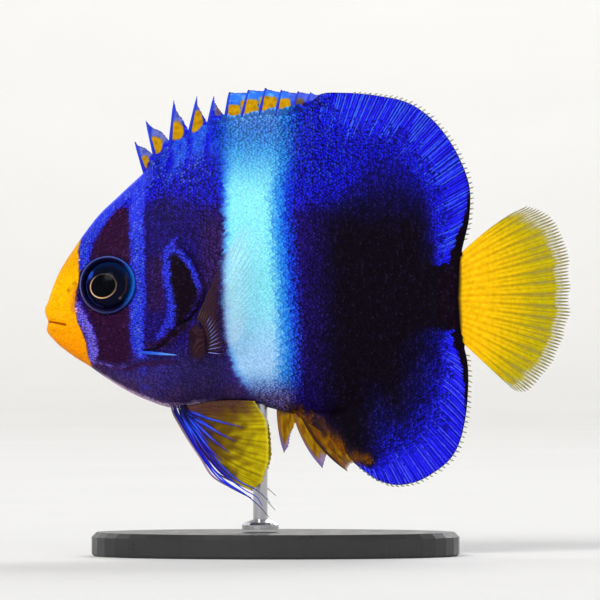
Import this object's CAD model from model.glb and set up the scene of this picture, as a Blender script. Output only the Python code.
"""Looks of a young West African angelfish, shown as a life-size still model on a plain stand.

One skin with scales covers the flesh, and finer fins, spines and eyes take the place of the solids.
Lengths are in millimetres until a mesh is made. x runs from the head to the tail, z upwards, and the
left side of the fish faces -y. Places in the side view are given as (x, z). Colours are given as red,
green and blue from 0 to 255.
"""

import math

import bpy
import numpy as np
from mathutils import Matrix, Vector
from mathutils.bvhtree import BVHTree


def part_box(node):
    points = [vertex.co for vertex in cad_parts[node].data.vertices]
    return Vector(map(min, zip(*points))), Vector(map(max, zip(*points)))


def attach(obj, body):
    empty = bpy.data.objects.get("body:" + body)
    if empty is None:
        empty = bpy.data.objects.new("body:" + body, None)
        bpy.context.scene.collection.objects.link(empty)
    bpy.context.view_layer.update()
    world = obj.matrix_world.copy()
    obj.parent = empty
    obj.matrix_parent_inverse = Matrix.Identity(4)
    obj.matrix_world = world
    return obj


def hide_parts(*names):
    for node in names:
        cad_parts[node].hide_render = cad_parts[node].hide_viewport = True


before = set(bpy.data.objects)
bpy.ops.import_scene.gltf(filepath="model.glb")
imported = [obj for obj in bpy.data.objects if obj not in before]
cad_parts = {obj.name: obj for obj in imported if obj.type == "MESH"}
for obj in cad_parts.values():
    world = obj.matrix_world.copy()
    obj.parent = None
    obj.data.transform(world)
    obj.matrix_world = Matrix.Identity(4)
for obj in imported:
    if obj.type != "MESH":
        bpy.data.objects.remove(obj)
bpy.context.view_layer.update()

MM = 0.001
FULL_TURN = 2 * math.pi
# The stand's centre where the tables below are measured, and in the frame
STAND_CENTRE_X = -4.0
base_low, base_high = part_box("stand_base")
base_middle = (base_low + base_high) / 2 / MM
SHIFT = np.array([base_middle.x - STAND_CENTRE_X, base_middle.y, 0.0])
draw = np.random.default_rng(11)

# The body's form, as in the solids: body coordinate s from the mouth (0) to the root of the tail (1),
# x and z on the top outline, x and z on the bottom outline
OUTLINES = [
    (0.000, -32.4, 29.3, -32.4, 29.3), (0.009, -32.8, 30.4, -32.6, 28.4),
    (0.028, -32.4, 31.9, -31.7, 27.0), (0.058, -31.3, 34.9, -29.7, 25.3),
    (0.097, -29.4, 38.1, -27.2, 23.7), (0.136, -26.6, 42.0, -25.2, 22.3),
    (0.185, -23.7, 44.9, -22.8, 20.8), (0.236, -20.8, 47.6, -20.3, 19.6),
    (0.297, -17.8, 50.5, -16.8, 18.5), (0.359, -14.9, 52.4, -13.4, 18.9),
    (0.439, -10.3, 54.4, -9.1, 19.3), (0.530, -5.7, 55.1, -3.9, 18.3),
    (0.603, -0.9, 55.8, -0.9, 17.1), (0.640, 1.3, 57.6, 2.2, 15.0),
    (0.689, 4.7, 57.9, 5.6, 11.8), (0.743, 9.1, 57.5, 8.8, 9.5),
    (0.797, 13.1, 56.4, 11.9, 8.9), (0.848, 16.6, 53.5, 15.3, 10.1),
    (0.892, 19.1, 49.5, 18.4, 12.9), (0.929, 20.3, 45.7, 19.7, 17.0),
    (0.958, 20.2, 42.2, 20.1, 21.4), (0.983, 19.6, 39.5, 19.9, 24.8),
    (1.000, 19.0, 37.2, 19.2, 27.3),
]
TOP_OUTLINE = [row[:3] for row in OUTLINES]
BOTTOM_OUTLINE = [(row[0], *row[3:]) for row in OUTLINES]
# The part of the top outline that the spiny dorsal fin stands on
BACK = TOP_OUTLINE[4:15]
MIDLINE = [
    (0.000, -32.4, 29.3), (0.028, -30.9, 29.6), (0.097, -27.4, 30.9), (0.185, -22.9, 32.4),
    (0.297, -17.2, 33.5), (0.439, -9.9, 34.1), (0.603, -1.6, 34.0), (0.797, 8.3, 33.2), (1.000, 18.7, 32.2),
]
# Half of the body's width at the mid-line against s
HALF_WIDTH = [
    (0.000, 0.55), (0.009, 1.25), (0.028, 1.85), (0.058, 2.40), (0.097, 3.05), (0.136, 3.70),
    (0.185, 4.50), (0.236, 5.10), (0.297, 5.55), (0.359, 5.75), (0.439, 5.70), (0.530, 5.35),
    (0.603, 4.85), (0.689, 4.05), (0.797, 2.90), (0.892, 1.90), (1.000, 1.15),
]
# Share of the way from the mid-line to the outline where the flesh ends and a soft fin starts
TOP_FLESH = [
    (0.00, 1.00), (0.60, 1.00), (0.66, 0.90), (0.743, 0.81), (0.848, 0.71), (0.93, 0.62), (0.97, 0.72),
    (1.00, 1.00),
]
BOTTOM_FLESH = [
    (0.00, 1.00), (0.57, 1.00), (0.64, 0.84), (0.70, 0.66), (0.80, 0.48), (0.90, 0.42), (0.96, 0.60),
    (1.00, 1.00),
]
# How the width falls away to the edge: 0.5 gives a round edge, over 1 a hollow fairing into a fin
TOP_FALL = [(0.0, 0.50), (0.10, 0.52), (0.24, 0.62), (0.40, 0.80), (0.60, 0.95), (0.75, 1.15), (1.0, 1.0)]
BOTTOM_FALL = [(0.0, 0.50), (0.20, 0.50), (0.45, 0.55), (0.60, 0.80), (0.75, 1.10), (1.0, 1.0)]
TOP_POWER = 2.0
BOTTOM_POWER = 2.5
EDGE_HALF = [(0.0, 0.10), (0.15, 0.16), (0.24, 0.45), (0.60, 0.60), (0.75, 0.80), (1.0, 0.60)]
MARGIN_HALF = 0.10
MARGIN_ROUND = 0.45
SKIN_INSET = 0.07

# Relief of the head. A path's rows hold x, z and its half width
MOUTH_LINE = [(-34.0, 29.42, 0.10), (-31.6, 29.2, 0.10), (-30.2, 28.9, 0.13)]
MOUTH_DEPTH = 0.24
LIP_SWELLING = 0.22
NOSTRILS = [(-29.0, 34.0, 0.26), (-29.8, 33.2, 0.20)]
GILL_STEP = 0.28
GILL_OPENING = [
    (-20.9, 52.0), (-20.3, 47.4), (-18.7, 43.0), (-16.6, 39.4), (-14.4, 36.9), (-13.1, 34.6), (-12.8, 32.8),
    (-13.4, 31.0), (-14.8, 29.7), (-16.6, 28.4), (-18.3, 26.2), (-20.4, 24.7), (-23.7, 24.1), (-26.2, 23.0),
    (-27.6, 20.5),
]
GILL_EDGE = [(z, x) for x, z in GILL_OPENING[::-1]]
CHEEK_GROOVES = [
    [(-20.0, 40.5, 0.2), (-20.6, 36.0, 0.25), (-20.8, 31.0, 0.25), (-20.5, 27.9, 0.3), (-19.8, 26.1, 0.2)],
    [(-27.4, 24.2, 0.15), (-25.9, 23.8, 0.2), (-23.4, 23.6, 0.2), (-20.9, 24.0, 0.2), (-18.7, 24.6, 0.2)],
]
GROOVE_DEPTH = 0.07
# The spine of the gill cover: x, z, how far it stands out, and its radius
CHEEK_SPINE = [
    (-21.2, 25.55, -0.4, 0.15),
    (-20.3, 25.45, 0.05, 0.22),
    (-18.9, 25.35, 0.36, 0.17),
    (-16.3, 25.15, 0.55, 0.035),
]
EYE_CENTRE = (-24.9, 33.9)
EYE_BULGE = 0.7
EYE_RADIUS = 3.1
EYE_DEPTH_RADIUS = 1.7
EYE_YAW = math.radians(16)
EYE_LIFT = math.radians(5)
ORBIT_RADIUS = 3.38
ORBIT_RIM_RADIUS = 0.27

# Markings in the side view: outlines of patches, and paths of bands
SNOUT = [
    (-33.4, 42.5), (-29.7, 41.0), (-28.3, 39.5), (-28.6, 38.2), (-28.5, 36.0), (-28.5, 34.5), (-28.8, 33.0),
    (-29.0, 31.2), (-28.7, 29.3), (-28.1, 28.0), (-27.6, 26.6), (-27.4, 25.0), (-27.1, 24.3), (-26.9, 23.6),
    (-28.0, 18.0), (-40.0, 18.0), (-40.0, 42.5),
]
FOREHEAD_STRIPE = [
    (-27.9, 36.0, 0.4), (-27.9, 37.2, 0.6), (-27.8, 38.5, 0.7), (-27.2, 40.0, 0.8), (-26.2, 41.8, 0.8),
    (-24.9, 43.5, 0.8), (-23.4, 45.0, 0.9), (-21.9, 46.3, 0.9), (-20.4, 47.4, 1.1),
]
LOWER_FRONT_STRIPE = [
    (-28.8, 31.2, 0.4), (-28.4, 30.2, 0.5), (-27.8, 29.1, 0.5), (-27.3, 27.9, 0.5), (-26.9, 26.5, 0.5),
    (-26.8, 25.2, 0.5), (-26.9, 24.2, 0.25),
]
CHEEK_STRIPE = [
    (-20.2, 48.0, 1.1), (-20.9, 46.2, 1.0), (-21.3, 44.2, 0.85), (-21.4, 42.0, 0.8), (-21.3, 39.5, 0.8),
    (-21.2, 37.2, 0.8), (-21.1, 34.5, 0.7), (-21.2, 32.0, 0.8), (-21.3, 29.5, 0.8), (-21.3, 27.2, 0.8),
    (-21.0, 25.6, 0.6), (-20.7, 24.9, 0.3),
]
COVER_FRONT_STRIPE = [
    (-16.7, 39.6, 0.05), (-17.2, 38.6, 0.3), (-17.7, 37.2, 0.42), (-17.6, 35.1, 0.42), (-17.3, 33.0, 0.42),
    (-16.9, 31.0, 0.42), (-17.2, 29.2, 0.5), (-18.0, 28.0, 0.4), (-18.9, 27.0, 0.15),
]
COVER_REAR_STRIPE = [
    (-17.7, 38.0, 0.3), (-16.9, 38.4, 0.35), (-16.0, 37.9, 0.3), (-15.0, 36.8, 0.28), (-14.3, 35.5, 0.27),
    (-13.8, 34.1, 0.25), (-13.5, 33.1, 0.1),
]
COVER_PATCH = [
    (-17.2, 37.7), (-16.2, 37.6), (-15.2, 36.6), (-14.3, 35.1), (-13.7, 33.2), (-14.2, 31.2), (-15.2, 29.7),
    (-16.3, 28.7), (-16.7, 30.5), (-17.1, 33.0), (-17.3, 35.5),
]
COVER_SHADE = [(-18.9, 36.5, 1.0), (-18.9, 31.5, 1.0)]
GILL_SEAM = [
    (-13.3, 32.6, 0.10), (-13.9, 31.0, 0.12), (-14.8, 29.6, 0.2), (-16.0, 28.5, 0.14), (-17.1, 27.4, 0.13),
    (-17.9, 26.6, 0.16), (-18.9, 26.0, 0.2), (-20.2, 25.7, 0.12),
]
UNDER_SEAM = [(-19.9, 26.3, 0.3), (-18.3, 26.4, 0.7), (-16.9, 27.6, 0.6), (-15.2, 29.0, 0.3)]
THROAT_FOLD = [
    (-28.0, 24.6, 0.0), (-26.4, 23.9, 0.1), (-23.4, 23.45, 0.2), (-20.9, 23.9, 0.22), (-18.0, 24.3, 0.2),
    (-14.6, 24.1, -0.1),
]
FOLD_FLECK = [(-26.9, 24.4, 0.1), (-25.6, 24.0, 0.15), (-23.8, 23.6, 0.12), (-22.8, 23.9, 0.05)]
BELOW_CHEEK_STRIPE = [(-20.7, 23.3, 0.3), (-20.4, 21.2, 0.5), (-19.9, 19.8, 0.2)]
UPPER_MAROON = [
    (-26.9, 37.2), (-26.8, 38.7), (-26.2, 40.2), (-25.2, 42.0), (-24.2, 43.2), (-23.4, 43.7), (-22.5, 43.5),
    (-22.2, 41.7), (-22.2, 38.9), (-22.1, 36.0), (-25.0, 35.0),
]
LOWER_MAROON = [
    (-27.9, 31.8), (-27.2, 29.7), (-26.5, 28.0), (-26.2, 26.0), (-26.3, 24.5), (-24.4, 24.0), (-22.2, 24.2),
    (-22.1, 26.4), (-22.2, 28.9), (-22.2, 32.5), (-25.0, 33.0),
]
PECTORAL_LOBE = [
    (-15.1, 28.2), (-13.9, 29.1), (-12.7, 28.5), (-12.2, 27.0), (-12.3, 25.5), (-13.4, 24.5), (-14.8, 25.0),
]
ORANGE_PATCH = [
    (-2.6, 18.8), (-1.2, 18.8), (1.6, 17.2), (4.0, 15.0), (5.8, 13.3), (7.8, 12.6), (8.2, 11.9), (6.8, 11.6),
    (5.2, 11.5), (2.0, 12.0), (-2.0, 15.5),
]
# Edges of the white bar against z: where it starts, and where it turns from pale to blue
BAR_FRONT = [
    (15.0, -4.5), (20.0, -7.6), (22.0, -8.8), (26.5, -10.4), (32.0, -10.9), (40.0, -10.7), (45.0, -10.8),
    (50.0, -11.2), (56.0, -11.4),
]
BAR_REAR = [
    (15.0, -2.6), (22.0, -3.2), (27.0, -3.2), (33.0, -3.5), (40.0, -4.0), (45.0, -4.2), (50.0, -3.3),
    (56.0, -2.9),
]
# How far up each spoke the dark of the flanks gives way to the blue of the back, against s
TOP_BLUE = [
    (0.10, 0.86), (0.20, 0.82), (0.27, 0.77), (0.36, 0.62), (0.50, 0.52), (0.65, 0.50), (0.75, 0.55),
    (0.85, 0.64), (0.93, 0.66), (1.0, 0.70),
]
PEDUNCLE = [(18.6, 36.3), (16.5, 35.0), (16.2, 31.0), (17.6, 28.6), (22.0, 28.4), (22.0, 36.3)]
# The soft fins' rays fan out from this place. By degrees round it: how deep the blue of their margins
# reaches, measured in from the outline, and how deep the streaks do
RAY_CENTRE = (-2.0, 34.5)
BLUE_DEPTH = [
    (-90, 2.0), (-74, 3.6), (-66, 5.2), (-58, 7.0), (-45, 6.5), (-30, 5.0), (-20, 3.8), (-17, 0.1),
    (7.5, 0.1), (10.5, 3.4), (15, 3.8), (30, 5.0), (45, 6.6), (60, 8.6), (80, 11.0),
]
STREAK_DEPTH = [
    (-80, 0.3), (-73, 0.4), (-70, 0.6), (-67, 0.9), (-64, 2.3), (-61, 3.6), (-58, 4.4), (-50, 4.9),
    (-43, 4.5), (-35, 3.4), (-25, 3.0), (-19, 2.2), (-16, 0.2), (7, 0.2), (8.8, 3.0), (15, 3.1), (30, 4.9),
    (45, 5.4), (60, 5.0), (78, 4.8), (86, 1.0),
]
# The share of that blue which is there inside of the streaks
INNER_BLUE = [
    (-90, 0.3), (-72, 0.5), (-60, 0.78), (-40, 0.6), (-20, 0.36), (8, 0.3), (20, 0.38), (35, 0.46),
    (50, 0.6), (70, 0.86), (90, 0.95),
]
# Next to the tail the rays sweep away from its root: degrees between a ray's ends, and how deep it bends
RAY_SWEEP = [(-46, 0), (-36, 1.4), (-17, 1.0), (-5, 0), (3, 3.0), (9, 3.0), (18, 2.0), (29, 0)]
SWEEP_DEPTH = 3.2
# Width of the black edge next to the tail, against z
BLACK_EDGE = [
    (14.0, 0.0), (16.5, 0.12), (18.5, 0.3), (21.5, 0.65), (25.0, 1.0), (28.2, 1.4), (33.0, 1.5), (36.5, 1.5),
    (39.3, 1.25), (41.0, 1.0), (43.5, 0.55), (46.0, 0.3), (49.0, 0.12), (52.0, 0.0),
]
# Distance between scales across the flank and along it, on the body and on the head
SCALE_PITCH = (0.40, 0.33)
HEAD_SCALE_PITCH = (0.31, 0.27)
# Degrees between two fine rays of the soft fins
RAY_STEP = 0.74

DARK = (10, 4, 16)
ROYAL = (18, 16, 232)
NEAR_BLACK = (13, 3, 16)
STRIPE_BLUE = (48, 62, 255)

# Spiny parts of the fins: x of each spine's root, x and z of its tip, and how far it bows
DORSAL_SPINES = [
    (-20.3, -21.6, 51.8, 0.0), (-18.9, -20.2, 54.4, 0.0), (-17.2, -16.7, 57.0, 0.0),
    (-14.9, -13.8, 57.5, 0.0),
    (-12.5, -11.7, 57.5, 0.0), (-10.3, -9.8, 58.0, 0.0), (-8.3, -7.4, 58.3, 0.0), (-6.1, -5.3, 58.5, 0.0),
    (-4.0, -3.3, 58.3, 0.0), (-2.1, -1.2, 58.1, 0.0), (-0.4, 0.4, 58.0, 0.0),
]
FREE_DORSAL_SPINES = 5
# Height of the membrane behind a spine, as shares of the spine: close behind it, halfway and at the next
FREE_FLAP = (0.78, 0.52, 0.15)
JOINED_FLAP = (0.97, 0.93, 0.90)
# Yellow spots of the dorsal fin: place, half width, half height and strength
DORSAL_SPOTS = [
    (-20.35, 49.25, 0.62, 0.80, 0.9), (-19.05, 51.35, 0.95, 1.15, 1.0), (-16.45, 53.15, 1.05, 1.20, 1.0),
    (-14.00, 54.30, 0.95, 1.50, 1.0), (-11.20, 55.60, 0.50, 0.65, 0.45), (-9.30, 55.60, 0.95, 0.85, 1.0),
    (-7.25, 56.00, 1.15, 1.15, 1.0), (-4.95, 56.45, 1.15, 1.05, 1.0), (-5.80, 55.30, 0.50, 0.75, 0.9),
    (-2.90, 56.40, 0.82, 0.82, 1.0), (-1.05, 56.30, 0.68, 0.95, 0.75),
]
ANAL_SPINES = [(-3.6, -2.9, 12.9, -0.2), (-1.7, 1.9, 11.0, -0.55), (-1.1, 5.0, 10.6, -0.7)]
ANAL_FLAPS = [
    ((-2.4, 13.7), (-2.15, 15.2), 0.16),
    ((2.05, 11.6), (2.25, 12.4), 0.66),
    ((4.98, 11.1), (5.3, 11.5), 1.0),
]
SPINE_FLANK = 0.30
SOFT_DORSAL_START_S = 0.634
SOFT_ANAL_START_S = 0.670

TAIL_MARGIN = [
    (27.2, 43.75), (29.7, 43.1), (31.4, 41.1), (32.5, 38.2), (32.9, 35.1), (32.8, 31.8), (32.3, 28.0),
    (31.1, 25.1), (29.3, 22.4), (26.9, 20.4), (25.9, 20.6),
]
TAIL_TOP_BOW = 0.7
TAIL_CURL = 0.9
TAIL_RAYS = 17

PECTORAL_ROOT = [(-13.8, 29.6), (-13.0, 28.7), (-12.5, 27.3), (-12.5, 25.4)]
PECTORAL_MARGIN = [
    (-10.9, 36.4), (-8.6, 40.4), (-7.2, 41.7), (-5.9, 40.2), (-5.7, 37.0), (-6.1, 32.2), (-7.9, 27.6),
    (-10.6, 24.9),
]
PECTORAL_SLOPE = 0.34
PECTORAL_RAYS = 27
# Radius of a ray by its distance from the fin's root
PECTORAL_RAY_RADIUS = [(0.0, 0.05), (0.5, 0.05), (1.4, 0.046), (2.2, 0.034), (8.0, 0.02)]

# Pelvic fin: four places along each of the rays that spread its web, front to rear
PELVIC_WEB = [
    [(-15.6, 16.6), (-13.1, 13.2), (-10.9, 10.6), (-7.0, 8.2)],
    [(-15.4, 16.9), (-12.6, 13.9), (-9.6, 11.2), (-5.6, 9.2)],
    [(-15.2, 17.2), (-12.3, 15.0), (-8.9, 13.2), (-4.8, 11.8)],
    [(-15.0, 17.5), (-12.3, 16.2), (-9.0, 15.1), (-4.8, 14.6)],
    [(-14.8, 17.9), (-12.3, 17.3), (-9.2, 16.9), (-5.1, 17.0)],
    [(-14.9, 18.9), (-12.3, 19.3), (-9.4, 19.5), (-6.6, 19.4)],
]
# Its strong front rays and blue streaks: thickness at both ends, height over the web, colours and places
LEAD_LILAC = [(120, 96, 130), (168, 140, 150), (150, 122, 160), (96, 84, 190)]
LEAD_BLUE = [(26, 34, 130), (30, 60, 226), (24, 22, 200), (32, 76, 245), (22, 50, 214), (14, 12, 50)]
DEEP_BLUE = [(22, 18, 110), (24, 24, 176), (30, 22, 180), (28, 46, 235), (60, 60, 200)]
STREAK_BLUE = [(22, 16, 66), (26, 24, 120), (40, 70, 236), (54, 92, 250), (72, 50, 200), (90, 60, 120)]
PELVIC_RODS = [
    (0.18, 0.07, 0.0, LEAD_LILAC, [
        (-16.9, 18.3), (-15.9, 16.4), (-14.7, 14.4), (-13.3, 12.3), (-11.9, 10.1), (-9.7, 8.7), (-7.2, 7.4)]),
    (0.17, 0.03, 0.08, LEAD_BLUE, [
        (-16.4, 18.2), (-15.2, 16.0), (-13.9, 13.9), (-12.4, 11.7), (-10.5, 9.6), (-7.4, 7.5), (-5.8, 6.1),
        (-4.8, 4.9)]),
    (0.15, 0.06, 0.14, DEEP_BLUE, [
        (-16.6, 18.2), (-15.5, 16.2), (-14.3, 14.1), (-12.8, 11.9), (-11.1, 9.8), (-8.4, 8.1), (-7.0, 7.3)]),
    (0.15, 0.04, 0.16, DEEP_BLUE, [
        (-16.0, 18.1), (-14.8, 16.1), (-13.3, 14.0), (-11.8, 11.9), (-9.9, 9.9), (-7.8, 8.3), (-6.3, 7.4),
        (-5.6, 6.3)]),
    (0.15, 0.03, 0.10, LEAD_BLUE, [
        (-15.6, 17.9), (-14.2, 15.8), (-12.6, 13.6), (-10.9, 11.5), (-8.5, 9.4), (-6.2, 8.2), (-4.6, 6.7)]),
    (0.16, 0.04, 0.26, STREAK_BLUE, [(-15.6, 17.6), (-14.6, 15.6), (-13.6, 13.6)]),
    (0.17, 0.04, 0.24, STREAK_BLUE, [(-15.4, 17.8), (-13.7, 15.4), (-12.0, 13.2), (-10.6, 11.9)]),
    (0.17, 0.04, 0.24, STREAK_BLUE, [(-15.3, 18.0), (-13.6, 16.3), (-11.7, 14.5), (-9.8, 13.0)]),
    (0.16, 0.04, 0.24, STREAK_BLUE, [(-15.2, 18.1), (-13.2, 16.8), (-11.0, 15.4), (-9.0, 14.4)]),
    (0.13, 0.03, 0.22, STREAK_BLUE, [(-15.1, 18.3), (-12.9, 17.4), (-10.5, 16.7), (-8.0, 16.1)]),
    (0.14, 0.04, 0.30, STREAK_BLUE, [(-15.2, 18.0), (-13.8, 16.0), (-12.4, 14.2)]),
    (0.13, 0.03, 0.27, STREAK_BLUE, [(-15.3, 18.2), (-14.2, 17.3), (-12.9, 16.4), (-11.9, 15.6)]),
    (0.12, 0.03, 0.25, STREAK_BLUE, [(-15.0, 18.4), (-13.6, 17.7), (-12.0, 17.1)]),
    (0.13, 0.03, 0.27, STREAK_BLUE, [(-15.5, 17.7), (-14.1, 15.2), (-12.9, 13.3), (-12.1, 12.3)]),
]
PELVIC_ROOT_X = -17.2
PELVIC_SIDE = 1.35
PELVIC_SLOPE = 0.15
RIGHT_PELVIC_TURN = math.radians(3.4)


# Curves and the form of the body
def curve_at(knots, values, at):
    """Values at the places `at` on a smooth curve that has a row of `values` at each of its knots."""
    knots = np.asarray(knots, float)
    at = np.clip(np.asarray(at, float), knots[0], knots[-1])
    steps = np.diff(knots)[:, None]
    secants = np.diff(values, axis=0) / steps
    inner = (secants[:-1] * steps[1:] + secants[1:] * steps[:-1]) / (steps[:-1] + steps[1:])
    slopes = np.concatenate([secants[:1], inner, secants[-1:]])
    i = np.clip(np.searchsorted(knots, at, side="right") - 1, 0, len(steps) - 1)
    h = steps[i]
    u = (at - knots[i])[..., None] / h
    start = (2 * u**3 - 3 * u**2 + 1) * values[i] + (u**3 - 2 * u**2 + u) * h * slopes[i]
    return start + (3 * u**2 - 2 * u**3) * values[i + 1] + (u**3 - u**2) * h * slopes[i + 1]


def table_at(table, at):
    """Smooth values of a table's further columns where its first column is `at`."""
    table = np.array(table)
    values = curve_at(table[:, 0], table[:, 1:], at)
    return values[..., 0] if table.shape[1] == 2 else values


def path_at(points, shares):
    """Places on a smooth curve through `points`, at shares of its length."""
    points = np.asarray(points, float)
    knots = np.concatenate([[0], np.cumsum(np.linalg.norm(np.diff(points, axis=0), axis=1))])
    return curve_at(knots, points, np.asarray(shares, float) * knots[-1])


def knots_at(table, value):
    """Straight lines between the pairs of a table."""
    return np.interp(value, [row[0] for row in table], [row[1] for row in table])


def spoke(s, t):
    """The place on the mid-line at s, and the way from it to the top outline, or the bottom one if t < 0."""
    middle = table_at(MIDLINE, s)
    top = (np.asarray(t) >= 0)[..., None]
    return middle, np.where(top, table_at(TOP_OUTLINE, s), table_at(BOTTOM_OUTLINE, s)) - middle


def side_place(s, t):
    """The place at s and height share t, from -1 on the bottom outline over the mid-line to 1 on the top."""
    s, t = np.broadcast_arrays(np.asarray(s, float), np.asarray(t, float))
    middle, way = spoke(s, t)
    return middle + way * np.abs(t)[..., None]


def margin_distance(s, t):
    """Distance along the spoke from the outline."""
    return (1 - np.abs(t)) * np.linalg.norm(spoke(s, t)[1], axis=-1)


def flesh_share(s, t):
    return np.minimum(1.0, np.where(np.asarray(t) >= 0, table_at(TOP_FLESH, s), table_at(BOTTOM_FLESH, s)))


def flesh_half(s, t):
    """Half of the flesh's width, and the share of the way from the mid-line to its edge."""
    share = np.minimum(1.0, np.abs(t) / flesh_share(s, t))
    fall = np.where(t >= 0, table_at(TOP_FALL, s), table_at(BOTTOM_FALL, s))
    power = np.where(t >= 0, TOP_POWER, BOTTOM_POWER)
    edge = table_at(EDGE_HALF, s)
    return edge + (table_at(HALF_WIDTH, s) - edge) * np.maximum(0.0, 1.0 - share**power) ** fall, share


# Colours and patterns
def shade(colour):
    """A colour as shares from 0 to 1, if it isn't in shares already."""
    return np.array(colour, float) / 255 if isinstance(colour, tuple) else colour


def linear(colour):
    """The same colour in shares of light."""
    colour = np.clip(colour, 0.0, 1.0)
    return np.where(colour <= 0.04045, colour / 12.92, ((colour + 0.055) / 1.055) ** 2.4)


def rise(value, low, high):
    """0 below `low`, 1 above `high`, smooth between them."""
    share = np.clip((value - low) / (high - low), 0.0, 1.0)
    return share * share * (3 - 2 * share)


def between(value, low, low_full, high_full, high):
    """0 outside of `low` and `high`, 1 from `low_full` to `high_full`."""
    return rise(value, low, low_full) * (1 - rise(value, high_full, high))


def hump(value, middle, width):
    return np.exp(-(((value - middle) / width) ** 2))


def waves_of(turns):
    """A wave from 0 to 1 that repeats with each whole turn, and is 1 there."""
    return 0.5 + 0.5 * np.cos(FULL_TURN * turns)


def lay(colour, *layers):
    """The colour under `layers`, which are pairs of another colour and how much of it shows."""
    colour = shade(colour)
    for over, mask in layers:
        colour = colour + (shade(over) - colour) * np.asarray(mask)[..., None]
    return colour


def path_distance(x, z, path):
    """Distance of each place from a path, and the path's half width at the nearest point."""
    best = np.full(np.shape(x), np.inf)
    width = np.zeros(np.shape(x))
    for a, b in zip(path, path[1:]):
        along_x, along_z = b[0] - a[0], b[1] - a[1]
        share = ((x - a[0]) * along_x + (z - a[1]) * along_z) / (along_x**2 + along_z**2)
        share = np.clip(share, 0.0, 1.0)
        distance = np.hypot(x - a[0] - share * along_x, z - a[1] - share * along_z)
        nearer = distance < best
        best = np.where(nearer, distance, best)
        if len(a) > 2:
            width = np.where(nearer, a[2] + (b[2] - a[2]) * share, width)
    return best, width


def band(x, z, path, soft=0.2):
    distance, width = path_distance(x, z, path)
    return 1.0 - rise(distance, width - soft, width + soft)


def patch(x, z, outline, soft=0.3):
    closed = outline + outline[:1]
    inside = np.zeros(np.shape(x), bool)
    for (ax, az), (bx, bz) in zip(closed, closed[1:]):
        if az != bz:
            inside ^= ((az > z) != (bz > z)) & (x < ax + (bx - ax) * (z - az) / (bz - az))
    distance, _ = path_distance(x, z, closed)
    return rise(np.where(inside, distance, -distance), -soft, soft)


def wander(x, z, size, seed):
    """A smooth random field from -1 to 1 with bumps about `size` across, the same in each run."""
    waves = np.random.default_rng(seed)
    count = 10
    total = np.zeros(np.shape(x))
    for _ in range(count):
        turn = waves.uniform(0, FULL_TURN)
        step = FULL_TURN / size * waves.uniform(0.5, 1.1)
        total += np.sin(step * (x * math.cos(turn) + z * math.sin(turn)) + waves.uniform(0, FULL_TURN))
    return total / count**0.5 / 1.5


def eye_distance(x, z):
    return np.hypot(x - EYE_CENTRE[0], z - EYE_CENTRE[1])


def ray_turn(x, z):
    """Degrees round the place that the soft fins' rays fan out from."""
    return np.degrees(np.arctan2(z - RAY_CENTRE[1], x - RAY_CENTRE[0]))


def edge_distance(x, z):
    """Distance from the outline of the rear half of the body."""
    s = np.concatenate([np.linspace(0.58, 0.8, 22), np.linspace(0.8, 1.0, 34)[1:]])
    top, bottom = table_at(TOP_OUTLINE, s), table_at(BOTTOM_OUTLINE, s)
    return np.minimum(path_distance(x, z, top)[0], path_distance(x, z, bottom)[0])


def ray_at(x, z):
    """Degrees at which the ray that passes a place meets the outline."""
    turn = ray_turn(x, z)
    return turn + np.sign(turn) * knots_at(RAY_SWEEP, turn) * np.clip(edge_distance(x, z) / SWEEP_DEPTH, 0, 1)


# The markings. Numbers beside x, z, s and t are the places where a colour starts and where it is full
def snout_colour(x, z):
    colour = lay(
        (250, 178, 0),
        ((246, 142, 0), (1 - rise(z, 25.0, 33.0)) * 0.9),
        ((229, 159, 0), rise(z, 34.0, 37.0)),
        ((186, 104, 44), band(x, z, [(-28.9, 33.4, 0.2), (-28.7, 32.2, 0.7), (-28.6, 31.0, 0.7)], 0.6) * 0.8),
        ((188, 118, 4), band(x, z, [(-31.2, 25.2, 0.1), (-28.8, 23.8, 0.3), (-27.0, 23.2, 0.4)], 0.9) * 0.5),
        ((214, 150, 0), (wander(x, z, 1.1, 21) > 0.75) * 0.35),
    )
    for nostril_x, nostril_z, radius in NOSTRILS:
        away = np.hypot(x - nostril_x, z - nostril_z)
        ring = 1 - rise(np.abs(away - radius), 0.03, 0.16)
        colour = lay(colour, ((206, 142, 0), ring), ((176, 112, 0), (1 - rise(away, 0.02, radius)) * 0.7))
    return lay(colour, ((150, 76, 4), band(x, z, MOUTH_LINE, 0.08) * 0.9))


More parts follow.
